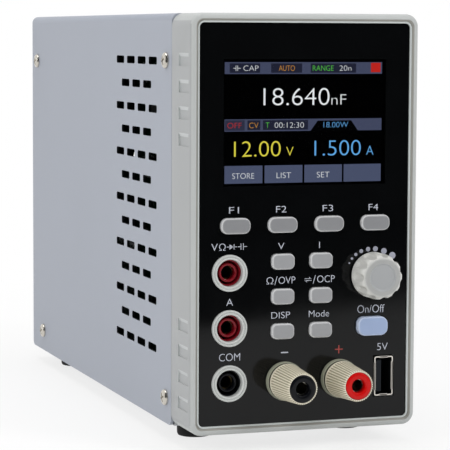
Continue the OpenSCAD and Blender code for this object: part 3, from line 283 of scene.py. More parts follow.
plasticLooks = {
    # colour, roughness, grain width and height in mm, change of tone in the clouds, and for some
    # specular, edge tone (a painted highlight on all that doesn't face the front) and coat
    # the bezel's sides, painted darker than its front as painted shade
    "bezel_side_painted_shade": ("a2a4a5", 0.48, 0.3, 0.01, 0.025),
    "bezel_plastic": ("b4b7b6", 0.48, 0.3, 0.01, 0.025),
    "black_overlay": ("08090a", 0.1, 0.5, 0.0005, 0.25, 0.24),
    "display": ("060607", 0.4, 0.35, 0.01, 0.06, 0),
    "key_plastic": ("96979a", 0.4, 0.25, 0.006, 0.03, 0.5, "d4d5d6"),
    "output_key_plastic": ("97a9cb", 0.4, 0.25, 0.006, 0.03, 0.5, "c8d5ee"),
    "knob_plastic": ("a3a4a3", 0.38, 0.3, 0.006, 0.03, 0.5, "cfcfcb"),
    "knob_dish": ("a3a5a7", 0.3, 0.3, 0.004, 0.03),
    "collar_plastic": ("c2c5c3", 0.42, 0.3, 0.006, 0.03),
    # the top row of keys painted darker than the others: painted shade
    "f_key_plastic_painted_shade": ("858689", 0.4, 0.25, 0.006, 0.03, 0.5, "d4d5d6"),
    "cap_plastic": ("e6e0ce", 0.4, 0.3, 0.005, 0.04, 0.5, "e6dfcb"),
    # painted shade in the grooves of the post caps
    "cap_groove_painted_shade": ("b0a991", 0.6, 0.3, 0.005, 0.1, 0.2),
    "base_plastic": ("989a88", 0.45, 0.3, 0.005, 0.04),
    "gap_shade": ("3a3b32", 0.7, 0.3, 0.005, 0.06, 0.1),
    "red_plastic": ("c20d0b", 0.13, 1.2, 0.002, 0.06, 0.2),
    "dark_red_plastic": ("84121f", 0.2, 1.2, 0.002, 0.06, 0.4),
    "black_plastic": ("0e0f13", 0.14, 0.6, 0.003, 0.06, 0.17),
    # a black chip painted darker still, with little gloss: painted shade
    "chip_in_painted_shade": ("0a0b0d", 0.6, 0.5, 0.004, 0.06, 0.06),
    # painted shade on the walls of the vent slots
    "slot_wall_painted_shade": ("0c0f12", 0.7, 0.5, 0.01, 0.06, 0.1),
    # a painted highlight along the overlay and on the pockets' rear walls
    "rim_bead_painted_highlight": ("c3c9c8", 0.4, 0.3, 0.005, 0.03),
    # painted shade on the rim's inner slope
    "rim_shade": ("92918b", 0.5, 0.3, 0.01, 0.03),
    # the metal lips of the outlet painted pale and without metal: a painted highlight
    "outlet_lip_painted_highlight": ("dcd7d0", 0.3, 0.6, 0.003, 0.06),
    # lighter than the bezel's sides: a painted highlight on the pocket slopes
    "pocket_edge_painted_highlight": ("b7babb", 0.35, 0.3, 0.005, 0.03),
    # the metal shell of the outlet painted near-black: painted shade inside it
    "outlet_inside_painted_shade": ("0b0d10", 0.5, 0.5, 0.004, 0.06, 0.2),
    "outlet_tongue": ("10161d", 0.5, 0.5, 0.004, 0.06, 0.2),
    "foot_rubber": ("101010", 0.75, 0.3, 0.02, 0.06, 0.3),
    "ferrite": ("2c2c2f", 0.7, 0.5, 0.03, 0.15),
    "winding_tape": ("d8b43c", 0.3, 3, 0.03, 0.1),
    "capacitor_sleeve": ("1c2148", 0.25, 4, 0.01, 0.06, 0.5, None, 0.3),
}
metalLooks = {
    # colour, roughness, width of the streaks in mm, and for some the way they run and cloud width
    # tin painted dark: painted shade on the chip legs inside the case
    "tin_in_painted_shade": ("5a5c59", 0.5, 0.4),
    "shaft_steel": ("b8b8b8", 0.3, 0.5, (1, 0.1, 1)),
    "screw_nickel": ("cfcac0", 0.24, 0.8),
    "bright_plate": ("cbc8c2", 0.26, 0.5, (1, 0.15, 0.15)),
    "brass": ("6a5c40", 0.42, 0.5, (1, 0.2, 1)),
    "zinc_sheet": ("a9abae", 0.38, 2.5, (1, 0.3, 1), 6),
    "heat_sink": ("b9bbbd", 0.36, 0.5, (1, 1, 0.08)),
}
boardLook = {
    "mask": "0c4a28", "copper": "17663a", "tin": "c8c8c4", "roughness": 0.35, "specular": 0.5,
    "track": 1.3, "trackLength": 6.5, "gap": 0.2, "pad": 4.2,  # mm
    "padShare": 0.16,
}
boardInPaintedShadeLook = {  # for the board seen through the slots, painted near-black as painted shade inside the case
    **boardLook, "mask": "02100a", "copper": "051a0e", "tin": "1c1f1d", "roughness": 0.7, "specular": 0,
}
paintLook = {
    "colour": "9fa4af", "cloud": 60, "shade": 0.03, "roughness": 0.5, "glossChange": 0.15,
    "grain": 0.45, "depth": 0.02, "speck": 0.27, "speckShade": 0.12, "speckShare": 0.25,
}
windowLook = {"colour": "e8ecee", "roughness": 0.05, "wipe": 7}

finishes = {name: moulded(name, look) for name, look in plasticLooks.items()}
finishes.update({name: plated(name, look) for name, look in metalLooks.items()})
finishes["board_green"] = circuitBoard("board_green", boardLook)
finishes["board_in_painted_shade"] = circuitBoard("board_in_painted_shade", boardInPaintedShadeLook)


def powderCoat(look):
    # paint with a fine orange peel
    finish = Finish("cover_paint")
    colour = tint(look["colour"])
    cloud = finish.noise(look["cloud"], 3)
    peel = finish.noise(look["grain"], 3)
    speck = finish.noise(look["speck"], 1)
    tone = finish.mix(cloud, shaded(colour, 1 - look["shade"]), shaded(colour, 1 + look["shade"]))
    finish.paint(
        colour=finish.mix(speck * look["speckShare"], tone, shaded(colour, 1 - look["speckShade"])),
        roughness=look["roughness"] + (peel - 0.5) * look["glossChange"],
        normal=finish.relief(peel, look["depth"]),
    )
    return finish


def clearWindow(look):
    # clear plastic with faint wipe marks in its gloss
    finish = Finish("window", colour=tint(look["colour"]), clear=1, ior=1.49)
    finish.paint(roughness=finish.noise(look["wipe"], 3, (1, 1, 0.4)) * look["roughness"])
    return finish


finishes["cover_paint"] = powderCoat(paintLook)
finishes["window"] = clearWindow(windowLook)
print("finishes ready:", len(finishes))


# Floor, backdrop and light

stageLook = {
    "floorRadius": 4,  # metres
    "floorColour": "f7f7f6",
    "shadowShare": 0.25,  # of the floor near the object that takes light and shadow
    "shadowStart": 0.12,  # metres from the middle, where the floor begins to turn plain white
    "shadowEnd": 0.4,
    "ambient": 0.5,
    "cardWidth": 1.6,  # metres
    "cardHeight": 1.1,
    "cardFoot": ((56, -287), (199, -366)),  # two points of its lower edge in mm from the overlay's middle
}
lampLooks = [
    {"name": "key", "place": (750, -900, 800), "size": 0.55, "power": 6.5},
    {"name": "fill", "place": (-1100, -300, 500), "size": 0.9, "power": 5},
    {"name": "top", "place": (-100, 150, 1200), "size": 0.9, "power": 6},
]


def seenShare(sheet):
    # 1 for what the camera sees directly, in a reflection or through the window, else 0
    rays = sheet.tree.nodes.new("ShaderNodeLightPath").outputs
    seen = 0
    for kind in ("Camera", "Glossy", "Transmission"):
        seen = sheet.maths("MAXIMUM", seen, Wire(sheet, rays["Is %s Ray" % kind]))
    return seen


def addWorld(look):
    world = bpy.data.worlds.new("world")
    bpy.context.scene.world = world
    world.use_nodes = True
    sheet = Sheet(world.node_tree)
    background = sheet.tree.nodes["Background"]
    sheet.feed(background.inputs["Color"], (1, 1, 1, 1))
    sheet.feed(background.inputs["Strength"], look["ambient"] + seenShare(sheet) * (1 - look["ambient"]))


def addFloor(look):
    bpy.ops.mesh.primitive_circle_add(vertices=96, radius=look["floorRadius"], fill_type="NGON")
    floor = bpy.context.object
    floor.name = "floor"
    finish = Finish("floor", colour=tint(look["floorColour"]), roughness=0.6, specular=0.2)
    spot = finish.node("TexCoord", out="Object")
    away = finish.node("VectorMath", {"operation": "LENGTH"}, {0: spot}, "Value")
    start, end = look["shadowStart"], look["shadowEnd"]
    fade = finish.clamp((away - start) / (end - start))
    share = 1 - (1 - fade) * look["shadowShare"]
    white = finish.node("Emission", sockets={"Color": (1, 1, 1, 1), "Strength": 1.0})
    body = Wire(finish, finish.shader.outputs[0])
    mixed = finish.node("MixShader", sockets={0: share * seenShare(finish), 1: body, 2: white})
    finish.feed(finish.tree.nodes["Material Output"].inputs["Surface"], mixed)
    floor.data.materials.append(finish.material)


def addCard(look):
    # a black card that only reflections see, in front of the object: the dark upper half of the overlay
    start, end = (atPanel(x, y, 0) for x, y in look["cardFoot"])
    along = (end - start).normalized()
    foot = (start + end) / 2
    bpy.ops.mesh.primitive_plane_add(size=1)
    card = bpy.context.object
    card.name = "card"
    upward = Vector((0, 0, 1))
    side = Matrix((along, upward, along.cross(upward))).transposed().to_4x4()
    size = Matrix.Diagonal((look["cardWidth"], look["cardHeight"], 1, 1))
    card.matrix_world = Matrix.Translation((foot.x, foot.y, look["cardHeight"] / 2)) @ side @ size
    finish = Finish("card", colour=(0.004, 0.004, 0.005, 1), roughness=1, specular=0)
    card.data.materials.append(finish.material)
    card.visible_camera = card.visible_diffuse = card.visible_shadow = False


def addLamp(look):
    data = bpy.data.lights.new(look["name"], "AREA")
    data.shape = "DISK"
    data.size = look["size"]
    data.energy = look["power"]
    lamp = linked(look["name"], data)
    lamp.location = atPanel(*look["place"])
    aim = atPanel(0, 40, 0) - lamp.location
    lamp.rotation_euler = aim.to_track_quat("-Z", "Y").to_euler()


addWorld(stageLook)
addFloor(stageLook)
addCard(stageLook)
for lampLook in lampLooks:
    addLamp(lampLook)
print("stage and lamps ready")


# Modelling helpers

square = 0.9  # how nearly a face or an edge has to point along y
doubles = 0.000002  # metres


def deselect():
    if bpy.context.mode != "OBJECT":
        bpy.ops.object.mode_set(mode="OBJECT")
    bpy.ops.object.select_all(action="DESELECT")


def choose(piece):
    deselect()
    piece.select_set(True)
    bpy.context.view_layer.objects.active = piece


def edit(piece):
    choose(piece)
    bpy.ops.object.mode_set(mode="EDIT")


def selectAll():
    bpy.ops.mesh.select_all(action="SELECT")


def pick(piece, kind, test):
    # selects in edit mode what the test accepts, by its middle and, for faces, its normal
    bpy.ops.mesh.select_mode(type=kind)
    bpy.ops.mesh.select_all(action="DESELECT")
    sheet = bmesh.from_edit_mesh(piece.data)
    if kind == "FACE":
        for face in sheet.faces:
            face.select_set(test(face.calc_center_median(), face.normal))
    elif kind == "EDGE":
        for edge in sheet.edges:
            ends = edge.verts[0].co, edge.verts[1].co
            edge.select_set(test((ends[0] + ends[1]) / 2, (ends[1] - ends[0]).normalized()))
    else:
        for vertex in sheet.verts:
            vertex.select_set(test(vertex.co))
    sheet.select_flush_mode()
    bmesh.update_edit_mesh(piece.data)


def frontFace(middle, normal):
    return normal.y < -square


def endFace(middle, normal):
    return abs(normal.y) > square


def cornerEdge(middle, along):
    return abs(along.y) > square


def drawOut(depth):
    # extrudes what is selected along y, by a depth in mm
    bpy.ops.mesh.extrude_region_move(TRANSFORM_OT_translate={"value": (0, depth * mm, 0)})


def weld(piece):
    # leaves the piece in edit mode
    edit(piece)
    selectAll()
    bpy.ops.mesh.remove_doubles(threshold=doubles)


def tidyMesh(piece, angle=32):
    weld(piece)
    bpy.ops.mesh.normals_make_consistent()
    bpy.ops.object.mode_set(mode="OBJECT")
    bpy.ops.object.shade_smooth_by_angle(angle=radians(angle))


def modify(piece, kind, **settings):
    choose(piece)
    modifier = piece.modifiers.new(kind.lower(), kind)
    for name, value in settings.items():
        setattr(modifier, name, value)
    bpy.ops.object.modifier_apply(modifier=modifier.name)


def roundEdges(piece, width, segments=3, angle=30):
    modify(piece, "BEVEL", width=width * mm, segments=segments, limit_method="ANGLE",
           angle_limit=radians(angle))


def block(name, low, high):
    # corners in metres
    deselect()
    low, high = Vector(low), Vector(high)
    middle = (low + high) / 2
    bpy.ops.mesh.primitive_cube_add(size=1, location=middle)
    piece = bpy.context.object
    piece.name = name
    piece.scale = high - low
    bpy.ops.object.transform_apply()
    return piece


def axisOf(middle):
    return Vector((middle.x, panelMiddle.y, middle.z))


def turnedPiece(name, middle, rings, segments=64):
    # rings of (radius, depth) in mm, each extruded from the last round an axis along y
    deselect()
    axis = axisOf(middle)
    radius, depth = rings[0]
    bpy.ops.mesh.primitive_circle_add(vertices=segments, radius=radius * mm, rotation=(pi / 2, 0, 0),
                                      location=axis + Vector((0, depth * mm, 0)))
    piece = bpy.context.object
    piece.name = name
    bpy.ops.object.transform_apply()
    edit(piece)
    bpy.ops.mesh.select_mode(type="VERT")
    selectAll()
    for nextRadius, nextDepth in rings[1:]:
        drawOut(nextDepth - depth)
        share = nextRadius / radius
        bpy.ops.transform.resize(value=(share, 1, share), center_override=axis)
        radius, depth = nextRadius, nextDepth
    deselect()
    return piece


def capEnds(piece):
    # closes the open rings at both ends
    edit(piece)
    bpy.ops.mesh.select_mode(type="EDGE")
    bpy.ops.mesh.select_all(action="DESELECT")
    bpy.ops.mesh.select_non_manifold()
    bpy.ops.mesh.edge_face_add()
    deselect()


def joined(name, pieces):
    choose(pieces[0])
    for piece in pieces:
        piece.select_set(True)
    bpy.ops.object.join()
    pieces[0].name = name
    pieces[0].data.name = name
    return pieces[0]


def copyAt(piece, name, shift):
    copy = linked(name, piece.data.copy())
    copy.data.transform(Matrix.Translation(shift))
    return copy


def coat(piece, finish):
    piece.data.materials.clear()
    piece.data.materials.append(finishes[finish].material)


def ridden(piece, finish, body="case"):
    # an added piece that stands for no CAD node
    coat(piece, finish)
    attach(piece, body)
    return piece


def replaced(piece, node):
    # stands in for a CAD node with the paint that the piece already has
    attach(piece, bodyOf[node])
    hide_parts(node)
    return piece


def standsFor(piece, node, finish=None):
    coat(piece, finish or slotOf[node])
    return replaced(piece, node)


def paintFaces(piece, finish, test):
    # gives the faces that the test accepts a finish of their own
    piece.data.materials.append(finishes[finish].material)
    edit(piece)
    pick(piece, "FACE", test)
    piece.active_material_index = len(piece.data.materials) - 1
    bpy.ops.object.material_slot_assign()
    deselect()


def dressed(node, edge=0, angle=30):
    # a copy of a CAD node with bevelled edges, or else with faces that blend
    piece = linked(node + "_dress", nodes[node].data.copy())
    weld(piece)
    if edge:
        bpy.ops.mesh.dissolve_limited(angle_limit=radians(0.5))
        roundEdges(piece, edge, 1)
    else:
        choose(piece)
        bpy.ops.object.shade_smooth_by_angle(angle=radians(angle))
        modify(piece, "WEIGHTED_NORMAL", keep_sharp=True, weight=80)
    return standsFor(piece, node)


# CAD nodes that stay as they are and only get their paint

for node, thing in nodes.items():
    coat(thing, slotOf[node])
# the meter board is painted near-black: painted shade inside the case
coat(nodes["meter_board"], "board_in_painted_shade")

# Nodes shown by a smooth copy

bezel = dressed("front_bezel", angle=21)
smoothNodes = ["jack_contacts", "post_studs", "capacitors", "fan_frame", "fan_guard", "encoder_shaft",
               "encoder_body", "case_fasteners", "switch_rocker"]
for node in smoothNodes:
    dressed(node)
print("smooth copies ready:", 1 + len(smoothNodes))


# Cover, side pockets and rim

coverLook = {"slotEdge": 0.25, "sheetReach": 2, "border": 5}  # mm
pocketLook = {
    "count": 4, "pitch": 8.95, "height": 4.4, "length": 10.9, "front": 1.6, "deep": 0.5, "slope": 1.25,
    "lift": 0.01, "top": 28.95, "bottom": 23.45,  # from the case's top and bottom to the middle of each row
}


def addCover(look):
    # the edges of the vent slots are bevelled, and the slot walls and bevels are painted near-black as
    # painted shade
    low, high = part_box("cover")
    piece = dressed("cover", look["slotEdge"])
    sides = high.x - look["sheetReach"] * mm  # further out lie only the two side sheets
    border = look["border"] * mm

    def slotWall(middle, normal):
        inSheet = sides < abs(middle.x) < high.x - 0.02 * mm
        inLength = low.y + border < middle.y < high.y - border
        inHeight = low.z + border < middle.z < high.z - border
        return inSheet and inLength and inHeight and abs(normal.x) < 0.8

    # the slot walls painted dark: painted shade
    paintFaces(piece, "slot_wall_painted_shade", slotWall)


def addPocketEdges(look):
    # the sloped upper edge of each pocket in a lighter tone, and a lighter rear wall, both painted
    # highlights; the bezel's sides get painted shade
    low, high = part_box("front_bezel")
    front = panelMiddle.y + look["front"] * mm
    slope = look["slope"] * mm
    ramps = []
    for side in (-1, 1):
        outer = high.x if side > 0 else low.x
        inner = outer - side * look["deep"] * mm
        outer += side * look["lift"] * mm
        for foot in (high.z - look["top"] * mm, low.z + look["bottom"] * mm):
            for i in range(look["count"]):
                step = (i - (look["count"] - 1) / 2) * look["pitch"]
                top = foot + (step + look["height"] / 2) * mm
                half = top - slope / 2
                ramp = block("ramp", (min(outer, inner), front, top - slope),
                             (max(outer, inner), front + look["length"] * mm, top))
                edit(ramp)
                pick(ramp, "VERT", lambda place: abs(place.x - outer) < 0.01 * mm and place.z < half)
                bpy.ops.transform.translate(value=(inner - outer, 0, 0))
                deselect()
                tidyMesh(ramp, 20)
                ramps.append(ramp)
    # the slopes are painted lighter than the bezel: a painted highlight
    ridden(joined("pocket_slopes", ramps), "pocket_edge_painted_highlight")
    # the bezel's side faces take a darker tone: painted shade
    paintFaces(bezel, "bezel_side_painted_shade", lambda middle, normal: abs(normal.x) > square)
    rear = look["front"] + look["length"]

    def backWall(middle, normal):
        atRear = abs(fromPanel(middle).y - rear) < 0.1 and abs(middle.x) > high.x - (look["deep"] + 0.1) * mm
        return atRear and frontFace(middle, normal)

    # the pocket's rear wall takes the bead's lighter tone: a painted highlight
    paintFaces(bezel, "rim_bead_painted_highlight", backWall)


rimLook = {
    "beadWidth": 0.62, "beadFront": -0.72, "beadRound": 0.16, "corner": 1.7,
    "crest": -1.25, "foot": -0.2,  # the slope inside the crest lies between these depths
}


def addRim(look):
    # painted shade on the slope inside the rim's crest, and the bead along the overlay painted light as a
    # painted highlight
    def slope(middle, normal):
        spot = fromPanel(middle)
        inward = normal.x * spot.x + normal.z * spot.z < -0.1
        return inward and -0.95 < normal.y < -0.5 and look["crest"] < spot.y < look["foot"]

    paintFaces(bezel, "rim_shade", slope)
    low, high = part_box("front_overlay")
    grown = look["beadWidth"] * mm
    front = panelMiddle.y + look["beadFront"] * mm
    bead = block("rim_bead_painted_highlight", (low.x - grown, front, low.z - grown),
                 (high.x + grown, panelMiddle.y, high.z + grown))
    edit(bead)
    pick(bead, "EDGE", cornerEdge)
    bpy.ops.mesh.bevel(offset=look["corner"] * mm + grown, segments=10)
    pick(bead, "FACE", endFace)
    bpy.ops.mesh.inset(thickness=grown)
    bpy.ops.mesh.bridge_edge_loops()
    deselect()
    roundEdges(bead, look["beadRound"], 3, 50)
    tidyMesh(bead, 40)
    # the bead is painted lighter than the bezel: a painted highlight
    ridden(bead, "rim_bead_painted_highlight")


addCover(coverLook)
addPocketEdges(pocketLook)
addRim(rimLook)
print("cover, pockets and rim ready")


# Feet

footLook = {
    "rings": [(6.3, 0), (6.3, -1.2), (6.24, -4.6), (6.12, -5.4), (5.85, -5.85), (5.4, -6), (2.6, -6),
              (2.4, -5.9), (2.3, -4.4), (0.9, -4.3)],
    "height": 6,
}


def addFeet(look):
    # turned along y and then stood on end under each foot's place
    low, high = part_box("feet")
    foot = turnedPiece("foot", panelMiddle, look["rings"])
    capEnds(foot)
    tidyMesh(foot, 40)
    reach = look["rings"][0][0] * mm
    top = low.z + look["height"] * mm
    onEnd = Matrix.Rotation(pi / 2, 4, "X") @ Matrix.Translation(-panelMiddle)
    feet = []
    for x in (low.x + reach, high.x - reach):
        for y in (low.y + reach, high.y - reach):
            made = copyAt(foot, "foot", Vector())
            made.data.transform(Matrix.Translation((x, y, top)) @ onEnd)
            feet.append(made)
    bpy.data.objects.remove(foot)
    standsFor(joined("feet_turned", feet), "feet")


addFeet(footLook)
print("feet ready")


# Keys

keyLook = {
    "skirt": 0.9, "skirtDepth": 0.8, "skirtStart": 3.1, "stemRadius": 1.6, "edge": 0.65, "edgeSteps": 5,
    "cornerSteps": 10,
    "kinds": [  # corner radius, finish if not the slot's, and the keys
        # the F keys get a darker tone: painted shade on the top row
        (2.25, "f_key_plastic_painted_shade", ["f1_key", "f2_key", "f3_key", "f4_key"]),
        (1.8, None, ["voltage_key", "current_key", "ohms_key", "swap_key", "display_key", "mode_key"]),
        (2.6, None, ["output_key"]),
    ],
}


def keyCap(name, node, radius, look):
    # a rounded block with a skirt behind the overlay and a stem on the switch
    low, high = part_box(node)
    skirt = look["skirt"] * mm
    skirtStart = panelMiddle.y + look["skirtStart"] * mm
    piece = block(name, (low.x + skirt, low.y, low.z + skirt), (high.x - skirt, skirtStart, high.z - skirt))
    width, height = high.x - low.x, high.z - low.z
    edit(piece)
    pick(piece, "EDGE", cornerEdge)
    bpy.ops.mesh.bevel(offset=radius * mm, segments=look["cornerSteps"])
    pick(piece, "FACE", frontFace)
    bpy.ops.mesh.region_to_loop()
    bpy.ops.mesh.bevel(offset=look["edge"] * mm, segments=look["edgeSteps"])
    pick(piece, "FACE", lambda middle, normal: normal.y > square)
    middle = middleOf(node)
    middle.y = skirtStart
    drawOut(0)
    grown = (width / (width - 2 * skirt), 1, height / (height - 2 * skirt))
    bpy.ops.transform.resize(value=grown, center_override=middle)
    drawOut(look["skirtDepth"])
    deselect()
    reach = look["stemRadius"]
    start, end = look["skirtStart"] + look["skirtDepth"] - 0.2, fromPanel(high).y
    stem = turnedPiece("stem", middle, [(reach, start), (reach, end - 0.2), (reach - 0.2, end)], 24)
    capEnds(stem)
    piece = joined(name, [piece, stem])
    tidyMesh(piece, 40)
    return piece


def addKeys(look):
    for radius, finish, keys in look["kinds"]:
        first = keys[0]
        piece = keyCap(first + "_cap", first, radius, look)
        for node in keys[1:]:
            standsFor(copyAt(piece, node + "_cap", middleOf(node) - middleOf(first)), node, finish)
        standsFor(piece, first, finish)


addKeys(keyLook)
print("keys ready")


# Knob, posts and jacks

def spokeOf(place, axis, repeat=1, phase=0):
    # angle to the nearest of the repeated columns, depth and radius in mm
    spot = (place - axis) / mm
    step = 2 * pi / repeat
    angle = (atan2(spot.z, spot.x) - phase) % step
    return min(angle, step - angle), spot.y, hypot(spot.x, spot.z)


def pullColumns(piece, middle, repeat, phase, goal):
    # draws columns of a turned piece in towards its axis, to the radius that goal gives for each vertex
    axis = axisOf(middle)
    edit(piece)
    groups = {}
    for vertex in bmesh.from_edit_mesh(piece.data).verts:
        offset, depth, radius = spokeOf(vertex.co, axis, repeat, phase)
        wanted = goal(offset, depth, radius)
        if wanted is not None and wanted < radius - 0.002:
            groups[round(offset, 3), round(depth, 2), round(radius, 2)] = wanted / radius
    for group, share in groups.items():
        def inGroup(place):
            offset, depth, radius = spokeOf(place, axis, repeat, phase)
            near = abs(depth - group[1]) < 0.02 and abs(radius - group[2]) < 0.02
            return near and abs(offset - group[0]) < 0.003
        pick(piece, "VERT", inGroup)
        bpy.ops.transform.resize(value=(share, 1, share), center_override=axis)
    deselect()


knobLook = {
    "radius": 7.9, "front": -10.2, "back": -0.9, "flutes": 11, "fluteRadius": 1.55, "fluteDepth": 1.15,
    "fluteStart": -3.88, "steps": 22, "hole": 3.05, "dish": 0.605,
}


def addKnob(look):
    middle = middleOf("control_knob")
    full, front, back = look["radius"], look["front"], look["back"]
    rings = [(look["hole"], back), (full - 0.3, back), (full - 0.1, back - 0.1), (full, back - 0.3)]
    rings += [(full, depth) for depth in (-1.8, -2.2, -2.6, -3, -3.4, -3.88, -5.2, -6.5)]
    rings += [(full * share, front + depth) for share, depth in (
        (0.99, 3), (0.98, 2.3), (0.968, 1.75), (0.95, 1.3), (0.92, 0.9), (0.875, 0.52), (0.835, 0.24),
        (0.8, 0.06), (0.775, 0), (0.61, 0), (0.6, 0.03), (0.575, 0.2), (0.55, 0.38), (0.52, 0.48),
        (0.4, 0.56), (0.2, 0.6), (0.04, 0.61))]
    piece = turnedPiece("knob_grip", middle, rings, look["flutes"] * look["steps"])
    reach = full + look["fluteRadius"] - look["fluteDepth"]

    def scooped(offset, depth, radius):
        past = max(0, depth - look["fluteStart"])
        room = look["fluteRadius"] ** 2 - past ** 2 - (reach * sin(offset)) ** 2
        return reach * cos(offset) - sqrt(room) if room > 0 else None

    pullColumns(piece, middle, look["flutes"], pi / look["flutes"], scooped)
    capEnds(piece)
    tidyMesh(piece, 18)
    standsFor(piece, "control_knob")
    axis = axisOf(middle)

    def inDish(place, normal):
        return normal.y < 0 and spokeOf(place, axis)[2] < look["dish"] * full

    paintFaces(piece, "knob_dish", inDish)


addKnob(knobLook)

postLook = {
    "grooves": 42, "steps": 4, "grooveShadeWidth": 1.3,  # half width of the painted shade in the grooves, in columns
    "grooveDepth": 0.3, "grooveStart": -3.75, "grooveInner": 4.9, "grooveLimit": 4.82,
    "gapRadius": 6.25,  # the base's front gets painted shade within it
    "cap": [(4.75, -2.5), (5.7, -2.5), (6.12, -2.68), (6.3, -3.1), (6.28, -3.5), (6.25, -3.8), (6.22, -4),
            (5.95, -8.5), (5.66, -13), (5.38, -17.3), (5.3, -17.65), (5.1, -17.92), (4.95, -18), (4.75, -18),
            (4.75, -2.5)],
    "sleeve": [(4.7, -3.8), (4.7, -17.4), (4.66, -17.7), (4.52, -17.98), (4.3, -18.18), (4.02, -18.28),
               (3.7, -18.3), (3, -18.3), (2.72, -18.24), (2.48, -18.08), (2.32, -17.82), (2.25, -17.5),
               (2.25, -16.2), (3.5, -16.2), (3.5, -2.5), (5, -2.5), (5, -3.8), (4.7, -3.8)],
    "base": [(3.25, -1.7), (6.2, -1.7), (6.28, -2.1), (6.4, -2.2), (6.56, -2.1), (6.65, -1.8), (6.65, -0.02),
             (4.2, -0.02), (4.2, 2.8), (3.25, 2.8), (3.25, -1.7)],
}


def addPosts(look):
    capMiddle = middleOf("minus_post_cap")
    cap = turnedPiece("minus_cap_grip", capMiddle, look["cap"], look["grooves"] * look["steps"])
    narrow = pi / look["grooves"] / look["steps"]

    def grooved(offset, depth, radius):
        if offset > narrow or depth > look["grooveStart"] or radius < look["grooveInner"]:
            return None
        return max(look["grooveLimit"], radius - look["grooveDepth"])

    pullColumns(cap, capMiddle, look["grooves"], 0, grooved)
    tidyMesh(cap, 30)
    coat(cap, slotOf["minus_post_cap"])
    axis = axisOf(capMiddle)

    # faces in and beside each groove, painted darker as painted shade
    def inGroove(middle, normal):
        offset, depth, radius = spokeOf(middle, axis, look["grooves"])
        inRange = depth < look["grooveStart"] and radius > look["grooveInner"]
        return inRange and offset < look["grooveShadeWidth"] * narrow and normal.y > -0.95

    paintFaces(cap, "cap_groove_painted_shade", inGroove)
    sleeve = turnedPiece("minus_sleeve_turned", capMiddle, look["sleeve"], 72)
    tidyMesh(sleeve, 40)
    shift = middleOf("plus_post_cap") - capMiddle
    replaced(copyAt(cap, "plus_cap_grip", shift), "plus_post_cap")
    standsFor(copyAt(sleeve, "plus_sleeve_turned", shift), "plus_post_sleeve")
    replaced(cap, "minus_post_cap")
    standsFor(sleeve, "minus_post_sleeve")
    base = turnedPiece("post_base_rings", capMiddle, look["base"], 72)
    coat(base, "base_plastic")

    # the base's front face inside the cap, painted dark as painted shade
    def inGap(place, normal):
        return endFace(place, normal) and spokeOf(place, axis)[2] < look["gapRadius"]

    paintFaces(base, "gap_shade", inGap)
    bases = joined("post_base_rings", [base, copyAt(base, "plus_base", shift)])
    tidyMesh(bases, 40)
    replaced(bases, "post_bases")


addPosts(postLook)

jackLook = {
    "collar": [(6.25, 0), (6.25, -0.45), (6.21, -0.7), (6.1, -0.9), (5.95, -0.98), (5.8, -0.98),
               (5.68, -0.88), (5.58, -0.68), (5.46, -0.6), (5.34, -0.66), (5.24, -0.86), (5.12, -0.98),
               (4.95, -1), (4.78, -0.95), (4.64, -0.8), (4.57, -0.6), (4.55, -0.4), (4.55, 21), (5.4, 21),
               (5.4, 0), (6.25, 0)],
    "cup": [(4.5, 1.34), (4.44, 1.23), (4.34, 1.2), (4.2, 1.2), (4.1, 1.23), (4.05, 1.34), (4.05, 19.5),
            (3.3, 19.5), (3.3, 1.9), (3.24, 1.72), (3.1, 1.62), (2.95, 1.6), (2.7, 1.6), (2.52, 1.66),
            (2.4, 1.8), (2.35, 2), (2.35, 4), (2.5, 4.05), (2.5, 20), (1.05, 20), (1.05, 22), (4.5, 22),
            (4.5, 1.34)],
}


def addJacks(look):
    cups = ["volts_jack_cup", "amps_jack_cup", "common_jack_cup"]
    middle = middleOf(cups[0])
    collar = turnedPiece("collar_rings", middle, look["collar"], 96)
    cup = turnedPiece("volts_cup_turned", middle, look["cup"], 72)
    tidyMesh(cup, 40)
    collars = [collar]
    for node in cups[1:]:
        shift = middleOf(node) - middle
        collars.append(copyAt(collar, "collar", shift))
        standsFor(copyAt(cup, node + "_turned", shift), node)
    standsFor(cup, cups[0])
    collars = joined("collar_rings", collars)
    tidyMesh(collars, 40)
    standsFor(collars, "jack_collars", "collar_plastic")


addJacks(jackLook)
print("knob, posts and jacks ready")


# USB outlet

usbLook = {
    "wall": 0.4, "corner": 0.7, "cornerSteps": 5, "depth": 12,
    "lipIn": 0.58, "lipOut": 0.04, "lipShort": 1.9, "lipDepth": 0.45, "lipEdge": 0.12,
    "tongueEdge": 0.15, "strips": 4, "stripPitch": 2.3, "stripWidth": 1, "stripStart": 0.8, "stripLift": 0.08,
}


